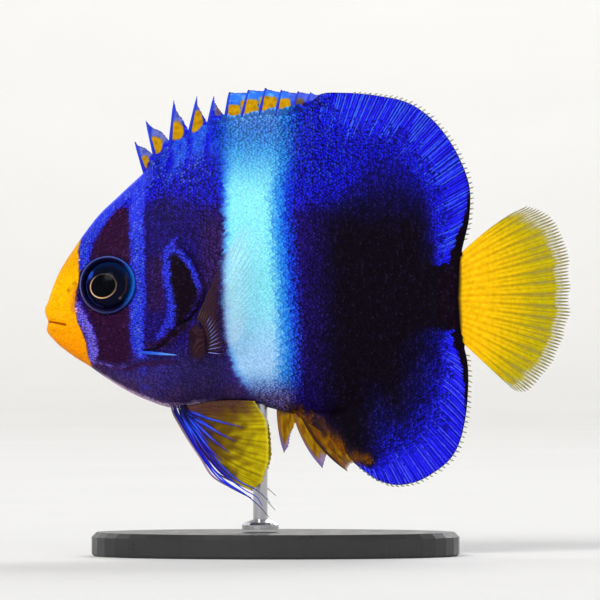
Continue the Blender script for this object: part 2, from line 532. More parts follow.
def bar_layers(x, z):
    """The white bar: layers for its edges and core, how lit it is, and the masks of its edge and core."""
    lit = rise(z, 44.0, 53.5)
    speckle = wander(x, z, 0.62, 28)
    front = table_at(BAR_FRONT, z) + 0.15 * wander(x, z, 2.2, 8) + 0.2 * speckle
    rear = table_at(BAR_REAR, z) + 0.12 * wander(x, z, 3.2, 9) + 0.36 * speckle
    low = 1 - rise(z, 24.0, 34.0)
    strength = rise(z, 19.2, 23.5)
    lead = 0.5 + 0.9 * lit
    edge = rise(x, front - lead, front + 0.5) * (1 - rise(x, rear + 0.9, rear + 2.8)) * strength
    core = rise(x, front - 0.3, front + 0.5 + 1.6 * lead) * (1 - rise(x, rear - 1.5, rear + 0.6)) * strength
    ahead = (1 - rise(x, front, front + 1.5)) * (1 - rise(z, 40.0, 46.0))
    bright = between(x, front - 0.2, front + 0.4 + lead, rear + 0.2, rear + 1.7) * strength
    pale = lay((140, 244, 255), ((64, 178, 255), lit), ((164, 212, 255), low))
    layers = [
        # Ahead of the bar a violet haze, above it and behind it blue
        (lay((16, 74, 255), ((30, 88, 244), low)), edge * (1 - ahead)),
        ((84, 78, 168), edge * ahead * 0.7),
        ((42, 156, 255), bright),
        (lay(pale, ((92, 150, 232), rise(z, 50.5, 54.5) * 0.8)), core),
        ((104, 92, 128), between(x, front, front + 1.5, rear, rear + 2.0) * (1 - rise(z, 19.5, 23.5)) * 0.7),
    ]
    return layers, lit, edge, core


def markings(x, z, s, t):
    """The fish's colour at places of its side, how far it breaks up into bright scales on dark
    skin (0 to 1), and where it is bare of scales."""
    soft = wander(x, z, 3.0, 5) * 0.5
    chest = (1 - rise(z, 23.5, 27.5)) * (1 - rise(x, -10.0, -4.0))
    below_stripe = band(x, z, BELOW_CHEEK_STRIPE, 0.7) * rise(wander(x, z, 1.1, 14), -0.6, 0.7)
    top = rise(t + 0.02 * soft, table_at(TOP_BLUE, s) - 0.16, table_at(TOP_BLUE, s) + 0.13)
    top = top * (1 - rise(x, 2.0, 8.0))
    nape = rise(t, 0.70, 0.92) * between(x, -20.0, -16.5, -12.5, -11.0)
    colour = lay(
        DARK,
        ((24, 10, 88), 1 - rise(x + soft, -2.2, 5.0)),
        ((13, 8, 84), rise(z + soft, 40.0, 48.0) * rise(x, -1.0, 3.0)),
        ((22, 10, 78), 1 - rise(x, -19.0, -14.0)),
        ((42, 22, 72), between(x, -15.0, -12.0, -11.4, -9.6) * between(z, 28, 34, 40, 45)),
        ((46, 34, 106), chest),
        ((70, 44, 78), chest * rise(-t + 0.1 * soft, 0.72, 0.97) * 0.7),
        ((32, 24, 60), chest * between(x, -19.0, -14.0, -11.5, -9.0) * 0.6),
        ((40, 50, 210), below_stripe * 0.6),
        (ROYAL, top),
        ((42, 110, 255), nape * rise(wander(x * 1.6, z * 0.5, 1.6, 24), -1.0, 0.6) * 0.9),
    )
    # Blue margins and streaks of the soft fins
    turn, depth = ray_at(x, z), edge_distance(x, z)
    low_fin = turn < 0
    reach, streaks = knots_at(BLUE_DEPTH, turn), knots_at(STREAK_DEPTH, turn)
    outer_start, outer_end = np.where(low_fin, 0.75, 0.6) * streaks, np.where(low_fin, 1.15, 1.35) * streaks
    outer = 1 - rise(depth + 0.2 * soft, outer_start, outer_end)
    outer = outer * np.where(low_fin, rise(x - 1.6 * depth, 0.0, 3.5), rise(x, 2.0, 7.0))
    blue = knots_at(INNER_BLUE, turn) * (1 - rise(depth + 0.8 * soft, 0.4 * reach, 1.6 * reach))
    blue = blue * np.where(low_fin, rise(x, 5.5, 12.5), rise(x, 0.5, 6.0))
    black = knots_at(BLACK_EDGE, z) * (1 + 0.14 * wander(x, z, 0.8, 12))
    rear_edge = (1 - rise(depth, black - 0.12, black + 0.12)) * (black > 0.06) * rise(x, 12.0, 14.0)
    bar, lit, edge_mask, core_mask = bar_layers(x, z)
    # Head: dark patches, then stripes, then seams
    maroon = np.maximum(patch(x, z, UPPER_MAROON, 0.5), patch(x, z, LOWER_MAROON, 0.5))
    rough_x = x + 0.12 * wander(x, z, 0.8, 3)
    stripes = np.maximum(band(rough_x, z, CHEEK_STRIPE, 0.35), band(rough_x, z, FOREHEAD_STRIPE, 0.3))
    lower_front = band(rough_x, z, LOWER_FRONT_STRIPE, 0.35)
    cover = np.maximum(band(rough_x, z, COVER_FRONT_STRIPE, 0.35), band(rough_x, z, COVER_REAR_STRIPE, 0.2))
    fold = band(x, z, THROAT_FOLD, 0.28)
    fleck = band(x, z, FOLD_FLECK, 0.15) * rise(wander(x, z, 0.7, 44), -0.5, 0.3)
    lobe = patch(x, z, PECTORAL_LOBE, 0.6)
    fan = 0.5 + 0.5 * np.cos(np.arctan2(z - 27.0, x + 15.9) * 46 + wander(x, z, 1.2, 15))
    flesh = lay((30, 16, 28), ((66, 38, 48), fan * between(x, -14.9, -13.9, -13.1, -12.2)))
    snout = patch(x, z, SNOUT, 0.12)
    # Orange streaks along the first rays of the anal fin
    orange = patch(x, z, ORANGE_PATCH, 0.7)
    away = np.hypot(x - RAY_CENTRE[0], z - RAY_CENTRE[1])
    fibres = rise(wander(turn * 0.45, away * 0.5, 1.6, 31) + 0.1, -0.5, 0.6)
    throat = rise(-t, 0.95, 0.985) * between(s, 0.10, 0.14, 0.34, 0.42)
    brow = rise(t, 0.975, 0.995) * between(s, 0.10, 0.13, 0.24, 0.30)
    around_eye = 1 - rise(eye_distance(x, z), 3.5, 3.8)
    colour = lay(
        colour,
        (ROYAL, np.maximum(blue, outer)),
        ((30, 26, 248), outer),
        (NEAR_BLACK, rear_edge),
        (NEAR_BLACK, patch(x, z, PEDUNCLE, 0.5)),
        *bar,
        ((38, 10, 42), maroon),
        ((36, 16, 46), band(x, z, COVER_SHADE, 0.8) * 0.7),
        (NEAR_BLACK, patch(x, z, COVER_PATCH, 0.3)),
        (STRIPE_BLUE, stripes),
        ((134, 104, 236), lower_front),
        (STRIPE_BLUE, cover * (0.42 + 0.24 * rise(z, 27.5, 30.5))),
        ((34, 12, 40), band(x, z, UNDER_SEAM, 0.5) * 0.75),
        ((16, 4, 14), band(x, z, GILL_SEAM, 0.10)),
        ((46, 11, 38), fold * 0.8),
        ((110, 92, 206), fleck * 0.8),
        (lay(flesh, ((8, 3, 10), rise(x, -12.75, -12.25) * 0.9)), lobe),
        (snout_colour(x, z), snout),
        ((42, 28, 38), orange * 0.9),
        ((126, 70, 4), orange * fibres * 0.9),
        ((206, 172, 206), throat * 0.9),
        ((110, 140, 250), brow * 0.6),
        ((16, 12, 60), around_eye * 0.8),
    )
    # How far the colour breaks up: strongly in the blue, hardly on the chest and in the bar
    blues = np.maximum.reduce([top, blue, outer, stripes, lower_front, cover, edge_mask])
    broken = 0.5 + 0.5 * blues - 0.22 * chest
    for calm in (
        (0.58 - 0.5 * lit) * edge_mask,
        (0.15 + 0.3 * rise(-turn, 42.0, 54.0)) * outer,
        0.6 * nape,
        0.4 * stripes * rise(z, 38.0, 42.0),
        0.3 * maroon * (1 - blues),
        (0.68 - 0.5 * lit) * core_mask,
        0.6 * orange,
        0.6 * fold,
    ):
        broken = broken * (1 - calm)
    return colour, broken, np.maximum.reduce([snout, lobe * 0.9, around_eye, throat])


# Making pieces
def build_mesh(name, points, faces, material, colours=None, alphas=None):
    """A smooth piece from points in millimetres and rows of corners, with a colour at each point."""
    faces = np.asarray(faces, np.int32)
    mesh = bpy.data.meshes.new(name)
    mesh.vertices.add(len(points))
    mesh.vertices.foreach_set("co", ((np.asarray(points, float) + SHIFT) * MM).astype(np.float32).ravel())
    mesh.loops.add(faces.size)
    mesh.loops.foreach_set("vertex_index", faces.ravel())
    mesh.polygons.add(len(faces))
    mesh.polygons.foreach_set("loop_start", np.arange(0, faces.size, faces.shape[1], dtype=np.int32))
    mesh.polygons.foreach_set("use_smooth", np.full(len(faces), True))
    mesh.update(calc_edges=True)
    if colours is not None:
        paint = mesh.color_attributes.new("Paint", "FLOAT_COLOR", "POINT")
        rgba = np.ones((len(points), 4), np.float32)
        rgba[:, :3] = linear(np.asarray(colours).reshape(-1, 3))
        paint.data.foreach_set("color", rgba.ravel())
    if alphas is not None:
        cover = mesh.attributes.new("Cover", "FLOAT", "POINT")
        cover.data.foreach_set("value", np.asarray(alphas, np.float32).ravel())
    mesh.materials.append(material)
    piece = bpy.data.objects.new(name, mesh)
    bpy.context.scene.collection.objects.link(piece)
    return piece


def set_bake_map(piece, u, v):
    """The map used when colours are baked, from values at each corner."""
    layer = piece.data.uv_layers.new(name="OFBake")
    layer.data.foreach_set("uv", np.stack([u, v], axis=-1).astype(np.float32).ravel())


def grid_faces(rows, columns, offset=0, flip=False):
    a = np.arange((rows - 1) * columns).reshape(rows - 1, columns)[:, :-1].ravel() + offset
    faces = np.stack([a, a + 1, a + columns + 1, a + columns], axis=1)
    return faces[:, ::-1] if flip else faces


def ring_faces(rings, around, closed=False):
    """Quads from ring to ring, and with `closed` from the last one to the first."""
    i = np.arange(rings if closed else rings - 1)[:, None]
    low, high = i * around, (i + 1) % rings * around
    j = np.arange(around)
    k = (j + 1) % around
    return np.stack([low + j, low + k, high + k, high + j], axis=-1).reshape(-1, 4)


def halved(quads):
    return np.concatenate([quads[:, [0, 1, 2]], quads[:, [0, 2, 3]]])


def facing_out(faces, points, inside):
    """The faces, all turned round if the first one faces the place `inside`."""
    a, b, c = points[faces[0][:3]]
    outwards = points[faces[0]].mean(axis=0) - inside
    return faces[:, ::-1] if np.dot(np.cross(b - a, c - a), outwards) < 0 else faces


def in_space(places, y):
    """Points in space from places in the side view."""
    return np.stack([places[..., 0], np.broadcast_to(y, places.shape[:-1]), places[..., 1]], axis=-1)


def sheet(name, places, y, half, material, colours, alphas=None):
    """A thin closed plate from a grid of side-view places, the y of its middle and its half thickness."""
    rows, columns = half.shape
    near = in_space(places, y - half).reshape(-1, 3)
    far = in_space(places, y + half).reshape(-1, 3)
    count = rows * columns
    index = np.arange(count).reshape(rows, columns)
    rim = np.concatenate([index[0], index[1:, -1], index[-1, -2::-1], index[-2:0:-1, 0]])
    after = np.roll(rim, -1)
    sides = np.stack([rim, count + rim, count + after, after], axis=1)
    a, b, c = near[0], near[1], near[columns]
    flip = (b - a)[0] * (c - a)[2] - (b - a)[2] * (c - a)[0] < 0
    faces = [grid_faces(rows, columns, 0, flip), grid_faces(rows, columns, count, not flip)]
    faces.append(sides[:, ::-1] if flip else sides)
    doubled = np.concatenate([colours.reshape(-1, 3)] * 2)
    covers = None if alphas is None else np.concatenate([np.ravel(alphas)] * 2)
    return build_mesh(name, np.concatenate([near, far]), np.concatenate(faces), material, doubled, covers)


def join(name, pieces):
    """Makes one piece of several, which keep their attributes."""
    bpy.ops.object.select_all(action="DESELECT")
    for piece in pieces:
        piece.select_set(True)
    bpy.context.view_layer.objects.active = pieces[0]
    bpy.ops.object.join()
    pieces[0].name = name
    pieces[0].data.name = name
    return pieces[0]


def rods(name, lines, material, sides=6):
    """Tapered rods in one piece. Each of `lines` holds a path, its radii and its colours."""
    points, faces, paint = [], [], []
    start = 0
    turns = FULL_TURN * np.arange(sides) / sides
    for path, radii, colours in lines:
        count = len(path)
        along = np.gradient(path, axis=0)
        along /= np.linalg.norm(along, axis=1, keepdims=True)
        across = np.cross(along, [0.0, 1.0, 0.0])
        across /= np.linalg.norm(across, axis=1, keepdims=True)
        second = np.cross(along, across)
        ring = np.cos(turns)[:, None] * across[:, None] + np.sin(turns)[:, None] * second[:, None]
        points.append((path[:, None] + ring * radii[:, None, None]).reshape(-1, 3))
        points.append(np.stack([path[0], path[-1]]))
        j = np.arange(sides)
        k = (j + 1) % sides
        end = (count - 1) * sides
        low = np.stack([k, j, np.full(sides, count * sides)], axis=1)
        high = np.stack([end + j, end + k, np.full(sides, count * sides + 1)], axis=1)
        faces.append(np.concatenate([halved(ring_faces(count, sides)), low, high]) + start)
        paint.append(np.repeat(colours, sides, axis=0))
        paint.append(colours[[0, -1]])
        start += count * sides + 2
    return build_mesh(name, np.concatenate(points), np.concatenate(faces), material, np.concatenate(paint))


# Materials by use: name, roughness, specular, own colour or None for the points' paint, and then noises,
# each with its size in millimetres and detail: one that darkens and lightens the colour, one that varies
# the roughness (both with the least and the most), and bumps (with their depth and strength)
STEEL = "stand_steel"
BRUSHED = (1.0, 1.0, 12.5)
LOOKS = {
    "skin": ("fish_skin", 0.5, 0.03, None, (0.28, 3, 0.78, 1.22), (0.9, 3, 0.38, 0.58),
             [(0.28, 3, 0.03, 0.6), (1.6, 2, 0.06, 0.5)]),
    "scale": ("fish_scale", 0.42, 0.035, None, (0.22, 2, 0.82, 1.18), (0.7, 3, 0.34, 0.5),
              [(0.06, 2, 0.01, 0.5)]),
    "fin": ("fish_fin", 0.45, 0.05, None, (0.5, 4, 0.86, 1.14), (0.4, 3, 0.38, 0.55), [(0.16, 2, 0.02, 0.5)]),
    "ray": ("fish_ray", 0.4, 0.07, None, (0.3, 3, 0.85, 1.15), None, [(0.14, 2, 0.015, 0.5)]),
    "eye": ("fish_eye", 0.13, 0.03, None, (0.35, 4, 0.8, 1.2), (0.8, 3, 0.1, 0.22), []),
    "base": ("stand_plastic", 0.34, 0.4, (0.16, 0.16, 0.165), (9.0, 3, 0.9, 1.1), (2.5, 5, 0.26, 0.42),
             [(0.25, 4, 0.02, 0.5)]),
    "rod": (STEEL, 0.28, 0.5, (0.74, 0.74, 0.76), (0.12, 4, 0.86, 1.1), (0.12, 4, 0.2, 0.38),
            [(0.12, 4, 0.006, 0.6)]),
    "floor": ("studio_floor", 0.75, 0.2, (0.905, 0.902, 0.895), (60.0, 3, 0.985, 1.01), None,
              [(0.8, 3, 0.03, 0.4)]),
}


def make_look(name, rough, specular, colour, tint, polish, bumps):
    material = bpy.data.materials.new(name)
    material.use_nodes = True
    tree = material.node_tree
    shader = tree.nodes["Principled BSDF"].inputs
    shader["Roughness"].default_value = rough
    shader["Specular IOR Level"].default_value = specular
    shader["Metallic"].default_value = 1.0 if name == STEEL else 0.0

    def add(kind, inputs):
        """A new node whose inputs, by name, are numbers or come from the output of another node."""
        node = tree.nodes.new(kind)
        for key, value in inputs.items():
            if isinstance(value, bpy.types.NodeSocket):
                tree.links.new(value, node.inputs[key])
            else:
                node.inputs[key].default_value = value
        return node

    def attribute(word):
        node = tree.nodes.new("ShaderNodeAttribute")
        node.attribute_name = word
        return node.outputs

    def noise(size, detail):
        inputs = {"Vector": place, "Scale": 1 / (size * MM), "Detail": detail}
        return add("ShaderNodeTexNoise", inputs).outputs["Fac"]

    def ranged(size, detail, least, most):
        inputs = {"Value": noise(size, detail), "From Min": 0.3, "From Max": 0.7}
        inputs |= {"To Min": least, "To Max": most}
        return add("ShaderNodeMapRange", inputs).outputs["Result"]

    place = tree.nodes.new("ShaderNodeTexCoord").outputs["Object"]
    if name == STEEL:
        place = add("ShaderNodeMapping", {"Vector": place, "Scale": BRUSHED}).outputs["Vector"]
    if colour:
        ground = tree.nodes.new("ShaderNodeRGB").outputs[0]
        ground.default_value = (*linear(np.array(colour)), 1.0)
    else:
        ground = attribute("Paint")["Color"]
    mix = tree.nodes.new("ShaderNodeVectorMath")
    mix.operation = "SCALE"
    tree.links.new(ground, mix.inputs[0])
    tree.links.new(ranged(*tint), mix.inputs["Scale"])
    tree.links.new(mix.outputs["Vector"], shader["Base Color"])
    if polish:
        tree.links.new(ranged(*polish), shader["Roughness"])
    normal = {}
    for size, detail, depth, strength in bumps:
        inputs = {"Height": noise(size, detail), "Distance": depth * MM, "Strength": strength, **normal}
        normal = {"Normal": add("ShaderNodeBump", inputs).outputs["Normal"]}
    if normal:
        tree.links.new(normal["Normal"], shader["Normal"])
    if name == "fish_fin":
        tree.links.new(attribute("Cover")["Fac"], shader["Alpha"])
    return material


# The skin
SKIN_ROWS = 124
# Rays towards the fish start this far from its middle
OUTSIDE = 30.0
# Columns of a root's row: place, normal, direction to the tail and the skin's s and t there
PLACE, NORMAL, WAY = slice(0, 3), slice(3, 6), slice(6, 9)
S_COLUMN, T_COLUMN = 9, 10


def skin_columns():
    """Values of s, closest together on the head and along the margins of the soft fins."""
    head = 0.30 * np.linspace(0.0008**0.5 / 0.30**0.5, 1, 118) ** 2
    body = np.linspace(0.30, 0.62, 76)[1:]
    s = np.linspace(0.62, 0.99, 900)
    run = [np.linalg.norm(np.diff(table_at(o, s), axis=0), axis=1) for o in (TOP_OUTLINE, BOTTOM_OUTLINE)]
    run = np.concatenate([[0], np.cumsum(np.maximum(*run))])
    fins = np.interp(np.linspace(0, run[-1], 214), run, s)[1:]
    return np.concatenate([head, body, fins, [0.994, 1.0]])


def groove(x, z, path, depth):
    distance, width = path_distance(x, z, path)
    return -depth * hump(distance, 0.0, np.maximum(width, 0.05))


def skin_half(s, t):
    """Half of the skin's thickness, with the relief of the head, the gill covers and the fin rays."""
    place = side_place(s, t)
    x, z = place[..., 0], place[..., 1]
    half, share = flesh_half(s, t)
    inner = 1.0 - share**6
    # Mouth and lips
    mouth, _ = path_distance(x, z, MOUTH_LINE)
    ahead = rise(-x, 29.6, 31.2)
    half += LIP_SWELLING * hump(mouth, 0.55, 0.5) * ahead * inner
    half -= 0.10 * hump(mouth, 1.5, 0.45) * ahead * inner
    half += groove(x, z, MOUTH_LINE, MOUTH_DEPTH) * inner
    for nostril_x, nostril_z, radius in NOSTRILS:
        away = np.hypot(x - nostril_x, z - nostril_z) / radius
        half += 0.05 * hump(away, 1.25, 0.35) - 0.16 * hump(away, 0.0, 0.75)
    for path in CHEEK_GROOVES:
        half += groove(x, z, path, GROOVE_DEPTH) * inner
    # Gill cover: raised towards its rear edge, with a crease behind it
    seam, _ = path_distance(x, z, GILL_OPENING)
    lift = rise(s, 0.22, 0.34) * between(z, 24.6, 27.0, 37.0, 39.6) * (1 - share**4)
    half += GILL_STEP * lift * np.where(x < knots_at(GILL_EDGE, z), rise(seam, 0.0, 0.22), 0.0)
    half -= 0.16 * lift * hump(seam, 0.0, 0.16)
    # Round the eye, and the fleshy root of the pectoral fin
    eye = eye_distance(x, z)
    half += 0.10 * hump(eye, 3.9, 0.5)
    half -= 1.5 * (1 - rise(eye, 2.4, 3.2))
    half += 0.36 * patch(x, z, PECTORAL_LOBE, 0.9) * rise(x, -15.4, -13.2)
    # Soft fins: thin to the margin, with a ridge along each ray
    flesh, edge = flesh_share(s, t), table_at(EDGE_HALF, s)
    out = np.clip((np.abs(t) - flesh) / np.maximum(1e-6, 1.0 - flesh), 0.0, 1.0)
    ridge = waves_of(ray_turn(x, z) / RAY_STEP) ** 2 * rise(out, 0.08, 0.35)
    half = np.where(np.abs(t) > flesh, edge + (MARGIN_HALF - edge) * out**0.55 + 0.03 * ridge, half)
    # The back narrows into the spiny part of the dorsal fin
    half *= 1 - 0.62 * rise(t, 0.90, 1.0) * rise(s, 0.22, 0.27) * (1 - rise(s, 0.59, 0.63))
    near_edge = np.clip(1 - margin_distance(s, t) / MARGIN_ROUND, 0.0, 1.0)
    half *= np.sqrt(1 - 0.97 * near_edge**2)
    return np.maximum(half - SKIN_INSET * rise(half, 0.1, 0.6), 0.02)


def unwrap_u(s, on_right):
    """The skin's unwrap: s runs across each half of the map and t up it."""
    return 0.01 + 0.48 * s + 0.5 * on_right


def unwrap_v(t):
    return 0.5 + 0.485 * t


def both_sides(left, right):
    """Rows that go up one side of the fish and down the other."""
    return np.concatenate([left, right[:, ::-1]], axis=1)


def make_skin(look):
    columns = skin_columns()
    turn = np.linspace(-1, 1, SKIN_ROWS + 1)
    s, t = np.meshgrid(columns, np.sign(turn) * np.abs(turn) ** 0.93, indexing="ij")
    place, half = side_place(s, t), skin_half(s, t)
    colour, broken, bare = markings(place[..., 0], place[..., 1], s, t)
    by_edge = rise(np.abs(t), 0.955, 0.975) * (1 - rise(s, 0.60, 0.66))
    ground = lay(colour * (1 - 0.44 * broken[..., None]), (colour, np.maximum(bare, by_edge)))
    ring = both_sides(in_space(place, -half), in_space(place, half))
    around = ring.shape[1]
    faces = ring_faces(len(columns), around)
    # Both ends are closed by joining each point to the one across
    for first, order in ((0, 1), ((len(columns) - 1) * around, -1)):
        a = first + np.arange(SKIN_ROWS)
        across = first + around - 1 - np.arange(SKIN_ROWS)
        faces = np.concatenate([faces, np.stack([a, across, across - 1, a + 1], axis=1)[:, ::order]])
    points = ring.reshape(-1, 3)
    skin = build_mesh("skin", points, faces, look, both_sides(ground, ground))
    s_of, t_of = both_sides(s, s).ravel(), both_sides(t, t).ravel()
    on_right = (faces % around >= around // 2).sum(axis=1) >= 3
    set_bake_map(skin, unwrap_u(s_of[faces], on_right[:, None]), unwrap_v(t_of[faces]))
    tree = BVHTree.FromPolygons(points.tolist(), faces.tolist())
    return skin, SkinSurface(tree, s_of[faces].mean(axis=1), t_of[faces].mean(axis=1))


class SkinSurface:
    """Answers where the skin is, and where the flesh is without the relief of the head."""

    def __init__(self, tree, face_s, face_t):
        self.tree = tree
        self.face_s = face_s
        self.face_t = face_t
        s, t = np.meshgrid(np.linspace(0.003, 1.0, 160), np.linspace(-1, 1, 61), indexing="ij")
        points = in_space(side_place(s, t), flesh_half(s, t)[0]).reshape(-1, 3)
        self.flesh = BVHTree.FromPolygons(points.tolist(), grid_faces(*s.shape).tolist())

    def hit(self, x, z, side):
        return self.tree.ray_cast(Vector((x, side * OUTSIDE, z)), Vector((0.0, -side, 0.0)))

    def root(self, x, z, side, way):
        """A scale's row at this place, or None where there is no skin."""
        place, normal, face, _ = self.hit(x, z, side)
        if place is None:
            return None
        if normal.y * side < 0:
            normal = -normal
        return (*place, *normal, way[0], 0.0, way[1], self.face_s[face], self.face_t[face])

    def half_at(self, x, z, side=1.0):
        place = self.hit(x, z, side)[0]
        return place.y * side if place else 0.0

    def halves_at(self, places):
        halves = [self.half_at(x, z) for x, z in np.reshape(places, (-1, 2))]
        return np.array(halves).reshape(np.shape(places)[:-1])

    def flesh_at(self, x, z):
        return self.flesh.ray_cast(Vector((x, OUTSIDE, z)), Vector((0.0, -1.0, 0.0)))[0].y

    def belly_at(self, x, y):
        return self.tree.ray_cast(Vector((x, y, 0.0)), Vector((0.0, 0.0, 1.0)))[0].z


# Scales: their rim in shares of length and width, how far the rim's corners stand out, and how much of
# a plate's bright colour its middle and those corners have
SCALE_RIM = [
    (-0.55, 0.0), (-0.42, 0.36), (-0.05, 0.5), (0.32, 0.42), (0.55, 0.17), (0.55, -0.17), (0.32, -0.42),
    (-0.05, -0.5), (-0.42, -0.36),
]
SCALE_LIFT = [-0.045, -0.035, 0.0, 0.02, 0.035, 0.035, 0.02, 0.0, -0.035]
MIDDLE_LIFT = 0.052
SCALE_SHINE = [0.1, 0.0, 0.0, 0.05, 0.7, 1.0, 1.0, 0.7, 0.05, 0.0]
DOT_SHINE = [1.0, 0.0, 0.1, 0.25, 0.4, 0.5, 0.5, 0.4, 0.25, 0.1]
STREAK_SHINE = [1.0, 0.8, 0.15, 0.0, 0.25, 0.8, 0.8, 0.25, 0.0, 0.15]
# Size of a scale's patch on the map used when colours are baked
BAKE_PATCH = 0.0027
# Scales keep this far off the gill opening up to this height, and close it above
GILL_GAP, GILL_OVERLAP, GILL_TOP = 0.05, 0.15, 38.6


def section_rows(surface, x, side, pitch, shift):
    """Places down the flank in the section at `x`, `pitch` apart along the skin from the mid-line."""
    hits = [surface.hit(x, z, side)[0] for z in np.arange(6.0, 60.0, 0.22)]
    found = [(p.y * side, p.z) for p in hits if p]
    if len(found) < 8:
        return {}
    y, z = np.array(found).T
    run = np.concatenate([[0], np.cumsum(np.hypot(np.diff(y), np.diff(z)))])
    start = np.interp(knots_at([row[1:] for row in MIDLINE], x), z, run)
    low = math.ceil((0.2 - start) / pitch - shift)
    high = math.floor((run[-1] - 0.2 - start) / pitch - shift)
    rows = np.arange(low, high + 1)
    return dict(zip(rows.tolist(), np.interp(start + (rows + shift) * pitch, run, z)))


def lattice(surface, side, first_x, last_x, pitches, keep):
    """Roots of scales in staggered rows."""
    pitch, step = pitches
    columns = np.arange(first_x, last_x, step)
    sections = [section_rows(surface, x, side, pitch, 0.5 * (k % 2)) for k, x in enumerate(columns)]
    found = []
    for k in range(1, len(columns) - 1):
        for row, z in sections[k].items():
            x = columns[k] + draw.normal(0, 0.22) * step
            if not keep(x, z):
                continue
            other = row + (1 if k % 2 else -1)
            before, after = ((near.get(row, z) + near.get(other, z)) / 2 for near in sections[k - 1:k + 2:2])
            slope = float(np.clip((after - before) / (2 * step), -1.2, 1.2))
            found.append(surface.root(x, z + draw.normal(0, 0.17) * pitch, side, (1.0, slope)))
    return np.array([root for root in found if root])


def make_scales(name, roots, lengths, widths, height, shine, paints, look, side):
    """Overlapping nine-sided low domes in one piece, shaded from their dark to their bright colours."""
    place, normal, direction = roots[:, PLACE], roots[:, NORMAL], roots[:, WAY]
    along = direction - normal * np.sum(direction * normal, axis=1, keepdims=True)
    along /= np.linalg.norm(along, axis=1, keepdims=True)
    across = np.cross(normal, along)
    rim = np.array(SCALE_RIM)
    outer = place[:, None] + along[:, None] * (rim[:, 0] * lengths[:, None])[..., None]
    outer = outer + across[:, None] * (rim[:, 1] * widths[:, None])[..., None]
    outer = outer + normal[:, None] * (np.array(SCALE_LIFT) * height)[:, None]
    middle = place + normal * (MIDDLE_LIFT * height) + along * (0.12 * lengths[:, None])
    points = np.concatenate([middle[:, None], outer], axis=1)
    each = points.shape[1]
    j = np.arange(1, each)
    fan = np.stack([np.zeros(each - 1, int), j, np.roll(j, -1)], axis=1)[:, ::-1 if side < 0 else 1]
    faces = (np.arange(len(points))[:, None, None] * each + fan).reshape(-1, 3)
    bright, dark = paints
    paint = dark[:, None] + (bright - dark)[:, None] * np.array(shine)[:, None]
    piece = build_mesh(name, points.reshape(-1, 3), faces, look, np.clip(paint, 0, 1))
    local = np.concatenate([[[0.0, 0.0]], rim]) * BAKE_PATCH
    u = unwrap_u(roots[:, S_COLUMN], side > 0)[:, None] + local[:, 0]
    v = unwrap_v(roots[:, T_COLUMN])[:, None] + local[:, 1]
    set_bake_map(piece, u.ravel()[faces], v.ravel()[faces])
    return piece


def columns_of(roots):
    return roots[:, 0], roots[:, 2], roots[:, S_COLUMN], roots[:, T_COLUMN]


def scale_paint(roots):
    """The bright and the dark colour of each scale."""
    x, z, s, t = columns_of(roots)
    colour, broken, _ = markings(x, z, s, t)
    red, green, blue = colour.T
    random = np.clip(0.8 * draw.normal(0, 1, len(roots)) + wander(x * 1.5, z * 0.6, 0.9, 17), -2, 2)
    bright = colour * (1 + broken * (1.05 + 0.42 * random))[:, None]
    bright /= np.maximum(1, bright.max(axis=1, keepdims=True))
    blueness = np.clip((blue - red) * 1.2, 0, 1)
    pearly = rise(blue, 0.7, 0.95) * (1 - rise(x, -14.0, -12.0)) * (1 - rise(green, 0.4, 0.5))
    dim = 1 - rise(colour.max(axis=1), 0.15, 0.5)
    pale = (1 - broken) * np.clip(green * 1.4 - 0.4, 0, 1)
    bright = lay(
        bright,
        ((50, 88, 255), np.clip(0.36 + 0.28 * random, 0, 0.9) * blueness * broken),
        ((124, 134, 255), pearly * np.clip(random, 0, 1.5) * 0.36),
        ((84, 70, 116), dim * np.clip(random - 0.3, 0, 1.5) * 0.15),
        ((205, 250, 255), pale * (0.22 + 0.12 * random)),
    )
    pale_green = np.clip(green * 1.6 - 0.2, 0, 1)[:, None]
    depth = 0.78 * broken[:, None] * (1 - np.array([0.0, 0.1, 0.34]) * pale_green)
    return np.clip(bright, 0, 1), np.clip(colour * (1 - depth), 0, 1)


def turn_to_rays(roots):
    """Lets scales near the margins of the soft fins point along the rays."""
    x, z, _, _ = columns_of(roots)
    turn = np.radians(ray_turn(x, z))
    share = (1 - rise(edge_distance(x, z), 3.5, 11.0)) * rise(x, -2.0, 5.0) * rise(np.abs(turn), 0.1, 0.35)
    for column, way in ((6, np.cos(turn)), (8, np.sin(turn))):
        roots[:, column] += (way * 1.2 - roots[:, column]) * share
    sway = 0.45 * wander(x, z, 2.4, 18) + draw.normal(0, 0.2, len(roots))
    across, up = roots[:, 6].copy(), roots[:, 8].copy()
    roots[:, 6], roots[:, 8] = across - sway * up, up + sway * across


def ray_place(turn, away, turns, far):
    """The place on the ray that meets the outline at `turn`, `away` from the outline."""
    bent = 1 - (1 - min(away / SWEEP_DEPTH, 1)) ** 1.5
    swept = turn - math.copysign(float(knots_at(RAY_SWEEP, turn)) * bent, turn)
    radius = np.interp(swept, turns, far) - away
    way = np.array([math.cos(math.radians(swept)), math.sin(math.radians(swept))])
    return np.array(RAY_CENTRE) + radius * way


def gill_gap(z):
    return GILL_GAP if z < GILL_TOP else -GILL_OVERLAP


